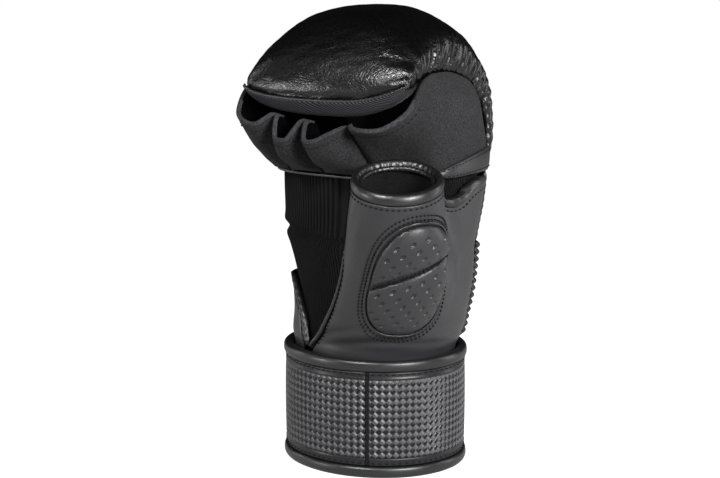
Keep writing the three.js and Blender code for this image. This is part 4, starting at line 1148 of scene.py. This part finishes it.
# %% The back of the hand
RIB_FOOT, RIB_PITCH, RIB_COUNT = 66.5, 3.9, 13
RIBS_END, PANEL_END = 152, 158


def behind(z, margin):
    """The angle on the hand form just behind the shell's back edge, at one height."""
    core = read_all(SHELL_CORE, z)
    limit = read(SHELL_EDGES, "back", z) + margin
    for degrees in np.arange(0, 120, 0.5):
        ends = [hand_point(z, degrees, offset) for offset in (1.3, 5.9)]
        if all(np.degrees(np.arctan2(p[1] - core["front"], p[0] - core["side"])) > limit for p in ends):
            return degrees
    return 120.0


heights = np.linspace(62, 156, 95)
BEHIND = {margin: np.array([behind(z, margin) for z in heights]) for margin in (1.0, 3.0, 6.5)}


def ribs_place(u, v):
    z = RIB_FOOT + RIB_PITCH * RIB_COUNT * v
    start = np.interp(z, heights, BEHIND[1.0])
    ridge = np.abs(np.sin(np.pi * v * RIB_COUNT)) ** 0.7
    edge = unit(np.minimum(u, 1 - u) / 0.03)
    return hand_point(z, start + (RIBS_END - start) * u, 4.3 + 2.0 * ridge * (0.35 + 0.65 * edge))


sewn("flex_ribs_leather", 120, 156, ribs_place, (98, 50.7), PANEL_LEATHER, "shell_leather", "flex_ribs",
     LEATHER_WALL, (0, 0, 95))
PANEL_FOOT = RIB_FOOT + RIB_PITCH * RIB_COUNT + 0.35


def panel_place(u, v):
    z = PANEL_FOOT + (HAND_TOP - PANEL_FOOT) * v
    start = np.interp(z, heights, BEHIND[6.5])
    soft = 0.25 * uneven(stack(u * 100, z, 0 * z), 22, 5)
    edge = 0.5 * unit(1 - np.minimum(u, 1 - u) / 0.015) ** 2
    return hand_point(z, start + (PANEL_END - start) * u, 4.1 + soft - edge)


sewn("back_panel_leather", 120, 44, panel_place, (107, 37), PANEL_LEATHER, "shell_leather", "back_panel",
     LEATHER_WALL, (0, 0, 135))


def back_piping_place(t, across, out):
    z = PANEL_FOOT + (HAND_TOP - PANEL_FOOT) * t
    return hand_point(z, np.interp(z, heights, BEHIND[3.0]) + 1.4 * across, 3.1 + 1.2 * out)


roll("back_piping_roll", 60, back_piping_place, 37, 3.6, "back_piping")
ULNAR_FOOT, ULNAR_TOP, ULNAR_START = 57, 97, 154.5


def ulnar_place(u, v):
    z = ULNAR_FOOT + (ULNAR_TOP - ULNAR_FOOT) * v
    degrees = ULNAR_START + (read(ULNAR_EDGE, "front", z) - ULNAR_START) * u
    return hand_point(z, degrees, 3.9 + 0.15 * uneven(stack(u * 60, z, 0 * z), 16, 8))


sewn("ulnar_panel_leather", 110, 60, ulnar_place, (60, 40), *SHELL, "ulnar_panel", LEATHER_WALL, (0, 0, 75))


def ulnar_roll_place(t, across, out):
    z = CUFF_HEIGHT + 0.6 + (ULNAR_TOP - CUFF_HEIGHT - 0.6) * t
    return hand_point(z, read(ULNAR_EDGE, "front", z) + 3.6 + 2.9 * across, 2.1 + 1.7 * out)


roll("ulnar_roll", 80, ulnar_roll_place, 42, 4.0, "ulnar_binding")

# %% [markdown]
# The finger section is neoprene, cut into a panel for the thumb-side flank, two loops, and a panel that goes round
# the little finger. Each has a turned-over hem, sewn with a row of stitches. The wall is a sheet with the
# thickness of the foam, and the hem is a soft roll on its edge, coloured a lighter grey as a painted highlight. The
# wall's inside is coloured near-black as painted shade.

# %% Neoprene walls and their hems


def finger_place(name):
    rows = FINGER_WALLS[name]

    def place(u, v):
        get = read_all(rows, u * rows["row"][-1], "row")
        bulge = get["belly"] * np.sin(np.pi * v)
        x, y, z = (get["foot_" + axis] + (get["hem_" + axis] - get["foot_" + axis]) * v for axis in "xyz")
        length = np.hypot(x, y)
        return stack(x + bulge * x / length, y + bulge * y / length, z - 0.5 * bulge)

    return place


# the length along each wall, and where its free hem begins and ends
FINGER_CUTS = {
    "index_panel": (150, 0.56, 0.99), "middle_loop": (46, 0.01, 0.99), "ring_loop": (44, 0.01, 0.99),
    "little_panel": (150, 0.01, 0.46),
}
hem_seams = []


def finger_wall(name):
    place = finger_place(name)
    length, begin, finish = FINGER_CUTS[name]
    ends = place(np.array([0.0, 1.0]), np.array([0.5, 0.5]))
    foot_x = FINGER_WALLS[name]["foot_x"]
    side_sign = 1.0 if foot_x[0] > foot_x[-1] else -1.0

    def draped(u, v):
        base = place(u, v)
        waves = 0.35 * uneven(base, 13, 21) * np.sin(np.pi * v) ** 0.7
        hem = 0.25 * unit((v - 0.84) / 0.03)
        return base - side_sign * outwards(place, u, v) * (waves + hem - 0.3)[..., None]

    middle = ends[:, :2].mean(axis=0) * 0.75
    inner_point = (0, 0, 175) if name.endswith("panel") else (*middle, 168)
    sewn(f"{name}_neoprene", length, 44, draped, (length, 34), NEOPRENE, "neoprene", name, FOAM_WALL,
         inner_point, SHADE_DARKENED_INSIDE)

    def hem_place(share, across, out):
        t = begin + (finish - begin) * share
        at_hem = np.ones_like(t)
        top, below = place(t, at_hem), place(t, at_hem - 0.05)
        up = one_long(top - below)
        inward = side_sign * outwards(place, t, at_hem - 0.02)
        return top + inward * (1.2 - 1.25 * across)[..., None] + up * (0.9 * out - 0.6)[..., None]

    roll(f"{name}_hem", int(length / 0.8), hem_place, length * (finish - begin), 3.6, None, sides=14, pucker=0.06,
         material=HEM)
    u = np.linspace(begin, finish, 160)
    height = np.full_like(u, 0.87)
    out = -side_sign * outwards(place, u, height)
    hem_seams.append((draped(u, height) + 0.05 * out, out))


for wall_name, wall_rows in FINGER_WALLS.items():
    wall_rows["row"] = np.arange(len(wall_rows["belly"]), dtype=float)
    finger_wall(wall_name)
sew("hem_stitches", hem_seams, "neoprene", (1.9, 2.8, 0.5, 0.35))

# %% [markdown]
# A thin piping closes the loops' feet across the palm, and a band of leather runs under the index panel, widening
# towards the back of the hand.

# %% Piping and band under the fingers


def palm_piping_place(t, across, out):
    return hand_point(153.6 + 1.0 * out, -176 + 105 * t, 1.6 + 1.3 * across)


roll("palm_piping_roll", 150, palm_piping_place, 98, 3.8, "finger_binding_palm", sides=12)
index_rows = FINGER_WALLS["index_panel"]
BAND_FOOT = 155.0


def band_under(t, across, rise):
    get = read_all(index_rows, 0.4 + 5.6 * t, "row")
    x, y, top = get["foot_x"], get["foot_y"], get["foot_z"] + 0.8
    length = np.hypot(x, y)
    return stack(x + across * x / length, y + across * y / length, BAND_FOOT + (top - BAND_FOOT) * rise)


def index_band_place(u, v):
    return band_under(u, 0.4 + 1.1 * np.sin(np.pi * v) ** 0.6, v)


sewn("index_band_leather", 90, 18, index_band_place, (58, 8), PANEL_LEATHER, "binding_leather",
     "finger_binding_index", 1.5, (0, 0, 160))
band_steps = np.linspace(0.02, 0.98, 120)
band_seams = []
for rise in (0.16, 0.84):
    path = band_under(band_steps, 1.35, rise)
    band_seams.append((path, band_under(band_steps, 4.0, rise) - path))
sew("index_band_stitches", band_seams, "binding_leather", (1.8, 2.7, 0.5, 0.35))

# %% [markdown]
# The knuckle pad is a thick slab of foam under glossy leather, curled over the fist. Its outer and inner faces are
# two grids on the pad's sections, bridged along their edges. It starts slightly small and is then blown up by the
# cloth simulation, which rounds its lip and flanks as real stuffing does.

# %% The knuckle pad's body
THUMB_SIDE, LITTLE_SIDE, PAD_MIDDLE = 46.0, 48.5, 185.0
THUMB_SQUARE, LITTLE_SQUARE, OVERHANG = 2.3, 2.4, 0.1


def pad_point(u, v, outside):
    at = v * PAD_PROFILE["row"][-1]
    get = read_all(PAD_PROFILE, at, "row")
    c, s = np.cos(np.pi * u), np.maximum(np.sin(np.pi * u), 0)
    thumb_flank = c > 0
    corner = 2 / np.where(thumb_flank, THUMB_SQUARE, LITTLE_SQUARE)
    across, crown = signed_power(c, corner), s**corner
    overhang = 1 + np.where(thumb_flank, OVERHANG, 0.0) * 4 * crown * (1 - crown) * (1 if outside else 0)
    x = across * np.where(thumb_flank, THUMB_SIDE, LITTLE_SIDE) * overhang
    to_y, to_z = (get["crown_y"], get["crown_z"]) if outside else (get["bed_y"], get["bed_z"])
    y = get["side_y"] + (to_y - get["side_y"]) * crown
    z = get["side_z"] + (to_z - get["side_z"]) * crown
    rise = 3.5 * unit((x - 20) / 26) ** 1.5 * unit((at - 9) / 2)
    return stack(x, y + 0.07 * x * unit(-y / 45), z + rise)


def pad_lift(u, v, edge=2.2):
    point = pad_point(u, v, True)
    return point + one_long((point - np.array([0.0, 0.0, PAD_MIDDLE])) * np.array([0.0, 1.0, 1.0])) * edge


knuckle = lens(
    "knuckle_pad_leather", 48, 40, lambda u, v, outer: pad_lift(u, v, 1.2) if outer else pad_point(u, v, False), 1e-5,
    PAD_LEATHER, "pad_leather", "knuckle_pad")

# %% [markdown]
# To find a place on the blown-up pad, its points are looked up on the pad's own sections. That gives how far round
# the pad a point lies and how far it is from the flank seam, and the pleats, the seam's groove and the creases are
# drawn in those terms.

# %% A ruler on the pad
STEPS = 161
ruler_u, ruler_v = np.meshgrid(np.linspace(0, 1, STEPS), np.linspace(0, 1, STEPS), indexing="ij")
ruler_points = pad_lift(ruler_u.ravel(), ruler_v.ravel()).reshape(STEPS, STEPS, 3)
from_flank, along_flank = lengths_along(ruler_points), lengths_along(ruler_points[0])
pad_tree = tree_of(ruler_points.reshape(-1, 3))
bed_tree = tree_of(pad_point(*np.meshgrid(np.linspace(0, 1, 61), np.linspace(0, 1, 61)), False).reshape(-1, 3))
print("flank seam length in mm:", along_flank[-1].round(1))

# %% [markdown]
# The bed of the pad lies on the hand and doesn't swell, so it is held while the rest fills. Then come the pleats: the
# leather is wider than the seam that it is sewn to, so it is gathered into bold folds, 4.9 mm apart, that fan out
# from the flank seam. They are deepest at the seam and fade over 19 to 35 mm.

# %% Stuff the pad and gather its flank
ON_BED, OFF_TOP = 1.4, 3.0


def on_bed(points):
    model = (points - CUFF_CENTRE) / MM
    return np.array([bed_tree.find(p)[2] < ON_BED and pad_tree.find(p)[2] > OFF_TOP for p in model])


inflate(knuckle, voxel=2.5, pressure=4.0, cap=2.4, held=on_bed)
subdivide_piece(knuckle, 2)
points, normals = points_of(knuckle), vertex_values(knuckle.data, "normal")
found = [pad_tree.find(p) for p in points]
index, distance = np.array([f[1] for f in found]), np.array([f[2] for f in found])
pad_u, pad_v = index // STEPS, index % STEPS
down = pad_v / (STEPS - 1)
reach, along = from_flank[pad_u, pad_v], along_flank[pad_v]
outer_side = unit(1 - (distance - OFF_TOP) / 3.0)
PLEAT_PITCH, PLEAT_DEPTH = 4.9, 1.9
wander = 0.9 * np.sin(along / 7.0 + 1.0) + 0.5 * np.sin(reach / 9.0 + along / 16.0)
pleat_phase = (along + wander + 0.12 * reach * np.sin(along / 11.0)) / PLEAT_PITCH
pleat = np.abs(np.cos(np.pi * pleat_phase)) ** 2.4 - 0.4
pleat_number = np.round(pleat_phase)
strength = 0.8 + 0.3 * np.sin(pleat_number * 2.1)
pleat_length = 27 + 8 * np.sin(pleat_number * 1.7 + 0.5)
to_lip = along_flank[-1] - along
fade = unit(1 - reach / pleat_length) ** 0.8 * unit(along / 14) * np.clip(to_lip / 12, 0.15, 1)
fade *= 0.3 + 0.7 * unit((along - 22) / 22)
pleats = PLEAT_DEPTH * strength * pleat * fade
lip = np.exp(-(((down - 0.985) / 0.02) ** 2)) * unit(reach / 10)
drape = 0.4 * uneven(points, 30, 2) + 0.12 * uneven(points * np.array([1.0, 1.6, 1.6]), 9, 4)
relief = outer_side * (pleats + drape - 0.3 * lip)
set_points(knuckle, points + normals * relief[:, None])
creased = np.clip((down - 0.46) / 0.3, 0.05, 1) * (0.75 + 0.25 * uneven(points, 26, 9)) * (1 - 0.85 * fade)
keep(knuckle, "creased", creased - 2.0 * (1 - outer_side))
print("pad:", len(points), "points, pleats up to", pleats.max().round(2), "mm")

# %% [markdown]
# Under the pad's lip a matte fabric is gathered along the front seam and drawn back over the fingers. Its gathers
# run fine and slanting, about 1.7 mm apart, deepest at the seam.

# %% The gathered lining
LIP_SHARE, LAST_ROW, GATHERS = 0.3, 6.5, 62
LINING_WIDTH, LINING_LENGTH = 105, 42
SEAM_START, SEAM_SHARE = 0.05, 0.9


def under_path(u, t):
    lip_part = unit(t / LIP_SHARE)[..., None]
    lip_point = pad_lift(u, np.ones_like(u)) * (1 - lip_part) + pad_point(u, np.ones_like(u), False) * lip_part
    back = unit((t - LIP_SHARE) / (1 - LIP_SHARE))
    bed = pad_point(u, 1 - back * (1 - LAST_ROW / PAD_PROFILE["row"][-1]), False)
    return np.where((t < LIP_SHARE)[..., None], lip_point, bed)


def gathered_at(u, v):
    """Height from 0 to 1 of gathers that slant more and more towards the thumb side and die out below the seam."""
    slant = (8 + 26 * (1 - u) ** 1.5) * v**1.2
    waves = np.abs(np.sin(np.pi * (u * GATHERS + slant + 0.25 * np.sin(u * 40)))) ** 0.9
    return 0.55 + (waves - 0.55) * unit((0.4 - v) / 0.18)


def lining_place(u, v):
    across, t = SEAM_START + SEAM_SHARE * u, 0.01 + 0.99 * v
    along_path = under_path(across, np.minimum(t + 0.03, 1)) - under_path(across, np.maximum(t - 0.03, 0))
    away = one_long(stack(0 * t, along_path[..., 2], -along_path[..., 1]))
    gathers = (gathered_at(u, v) - 0.5) * 0.8
    return under_path(across, t) + away * (1.5 + gathers)[..., None]


gathered = sewn(
    "gathered_lining_cloth", 600, 60, lining_place, (LINING_WIDTH, LINING_LENGTH), LINING, "gathered_lining",
    "pad_underside", 0.9, (0, -20, 215))
on_cloth = ruler_of(gathered)
# The gather heights also colour the lining: painted highlight on the crests, painted shade in the folds.
keep(gathered, "gather", gathered_at(on_cloth[:, 0] / LINING_WIDTH, on_cloth[:, 1] / LINING_LENGTH))


def front_cord_place(t, across, out):
    u = SEAM_START + SEAM_SHARE * t
    return pad_lift(u, np.ones_like(u), 2.2) + stack(0 * t, 0.8 * across, 0.8 * out - 0.6)


roll("pad_front_cord", 200, front_cord_place, 120, 2.6, None, sides=12, pucker=0.12)

# %% [markdown]
# The camera stands where the photographer stood: 35 degrees round towards the thumb side and 10 degrees up, 0.85 m
# away, with a long lens. The floor and the light are plain: a white sweep, a dim room, one soft box beside the camera
# on its right, weak strips at both sides that draw the edges, and four boxes at the left. Three of those only show
# as highlights on the coats: the broad sheen of the pad, its bright patch by the pleats, and the line of its lip.
# The fourth only fills the palm side and is never seen in the coats.

# %% Floor, light and camera
ROUND_TO_THUMB, UP, AWAY = 35, 10, 0.85
AIM_SIDE, AIM_HEIGHT = -8.0, 117.0
RIGHT = np.array([cos(ROUND_TO_THUMB), sin(ROUND_TO_THUMB), 0.0])
BACK = np.array([sin(ROUND_TO_THUMB) * cos(UP), -cos(ROUND_TO_THUMB) * cos(UP), sin(UP)])
TARGET = to_metres(RIGHT * AIM_SIDE + np.array([0.0, 0.0, AIM_HEIGHT]))
FLOOR_GLOW, ROOM_TONE = 0.34, "#161616"

floor_mesh = bmesh.new()
bmesh.ops.create_grid(floor_mesh, x_segments=1, y_segments=1, size=60.0)
floor_data = bpy.data.meshes.new("floor")
floor_mesh.to_mesh(floor_data)
floor_mesh.free()
floor = add_object("floor", floor_data)
paper = new_material("white_paper_sweep")
paper_place = node(paper, "TexCoord").outputs["Object"]
paper_grain = noise(paper, paper_place, 40.0)[0]
seen = node(paper, "LightPath").outputs["Is Camera Ray"]
surface(paper, blend(paper, paper_grain, "#a8a8a8", "#b0b0b0"), 0.9,
        node(paper, "Bump", {"Strength": 0.02, "Height": paper_grain}).outputs[0],
        Emission_Color=tone("#ffffff"), Emission_Strength=span(paper, seen, 0.0, 1.0, FLOOR_GLOW))
floor_data.materials.append(paper)

world = bpy.data.worlds.new("studio")
bpy.context.scene.world = world
world.use_nodes = True
seen = node(world, "LightPath").outputs["Is Camera Ray"]
sky = blend(world, seen, ROOM_TONE, "#ffffff")
world.node_tree.links.new(sky, world.node_tree.nodes["Background"].inputs["Color"])
bpy.context.scene.view_settings.view_transform = "Standard"


def aim(thing, place):
    """Puts a lamp or the camera at a place and turns it towards the glove."""
    thing.location = tuple(place)
    thing.rotation_euler = Vector(tuple(TARGET - place)).to_track_quat("-Z", "Y").to_euler()


def soft_light(name, across, back, up, width, height, watts, fills=True, shows=True):
    """A soft box at a place seen from the camera, in metres. It may fill the shadows, show in the gloss, or both."""
    light = bpy.data.lights.new(name, "AREA")
    light.shape = "RECTANGLE"
    light.size, light.size_y, light.energy = width, height, watts
    lamp = add_object(name, light)
    aim(lamp, TARGET + RIGHT * across + BACK * back + np.array([0, 0, up]))
    lamp.visible_diffuse, lamp.visible_glossy = fills, shows


soft_light("key_box", 0.46, 0.85, 0.22, 0.34, 0.34, 14.0)
soft_light("sheen_box", -0.75, 0.3, 0.75, 0.8, 0.6, 0.22, fills=False)
soft_light("crease_box", -0.42, 0.71, 0.53, 0.17, 0.17, 9.5, fills=False)
soft_light("lip_strip", -0.9, 0.3, -0.02, 0.1, 0.16, 2.0, fills=False)
soft_light("left_front_box", -0.7, 0.5, 0.6, 0.6, 0.6, 1.4, shows=False)
soft_light("left_edge_strip", -0.75, -0.3, 0.1, 0.08, 0.9, 1.5)
soft_light("right_edge_strip", 0.8, -0.1, 0.15, 0.08, 0.9, 2.5)

camera_data = bpy.data.cameras.new("camera")
camera_data.sensor_width, camera_data.lens = 36.0, 80.2
camera = add_object("camera", camera_data)
aim(camera, TARGET + BACK * AWAY)
bpy.context.scene.camera = camera
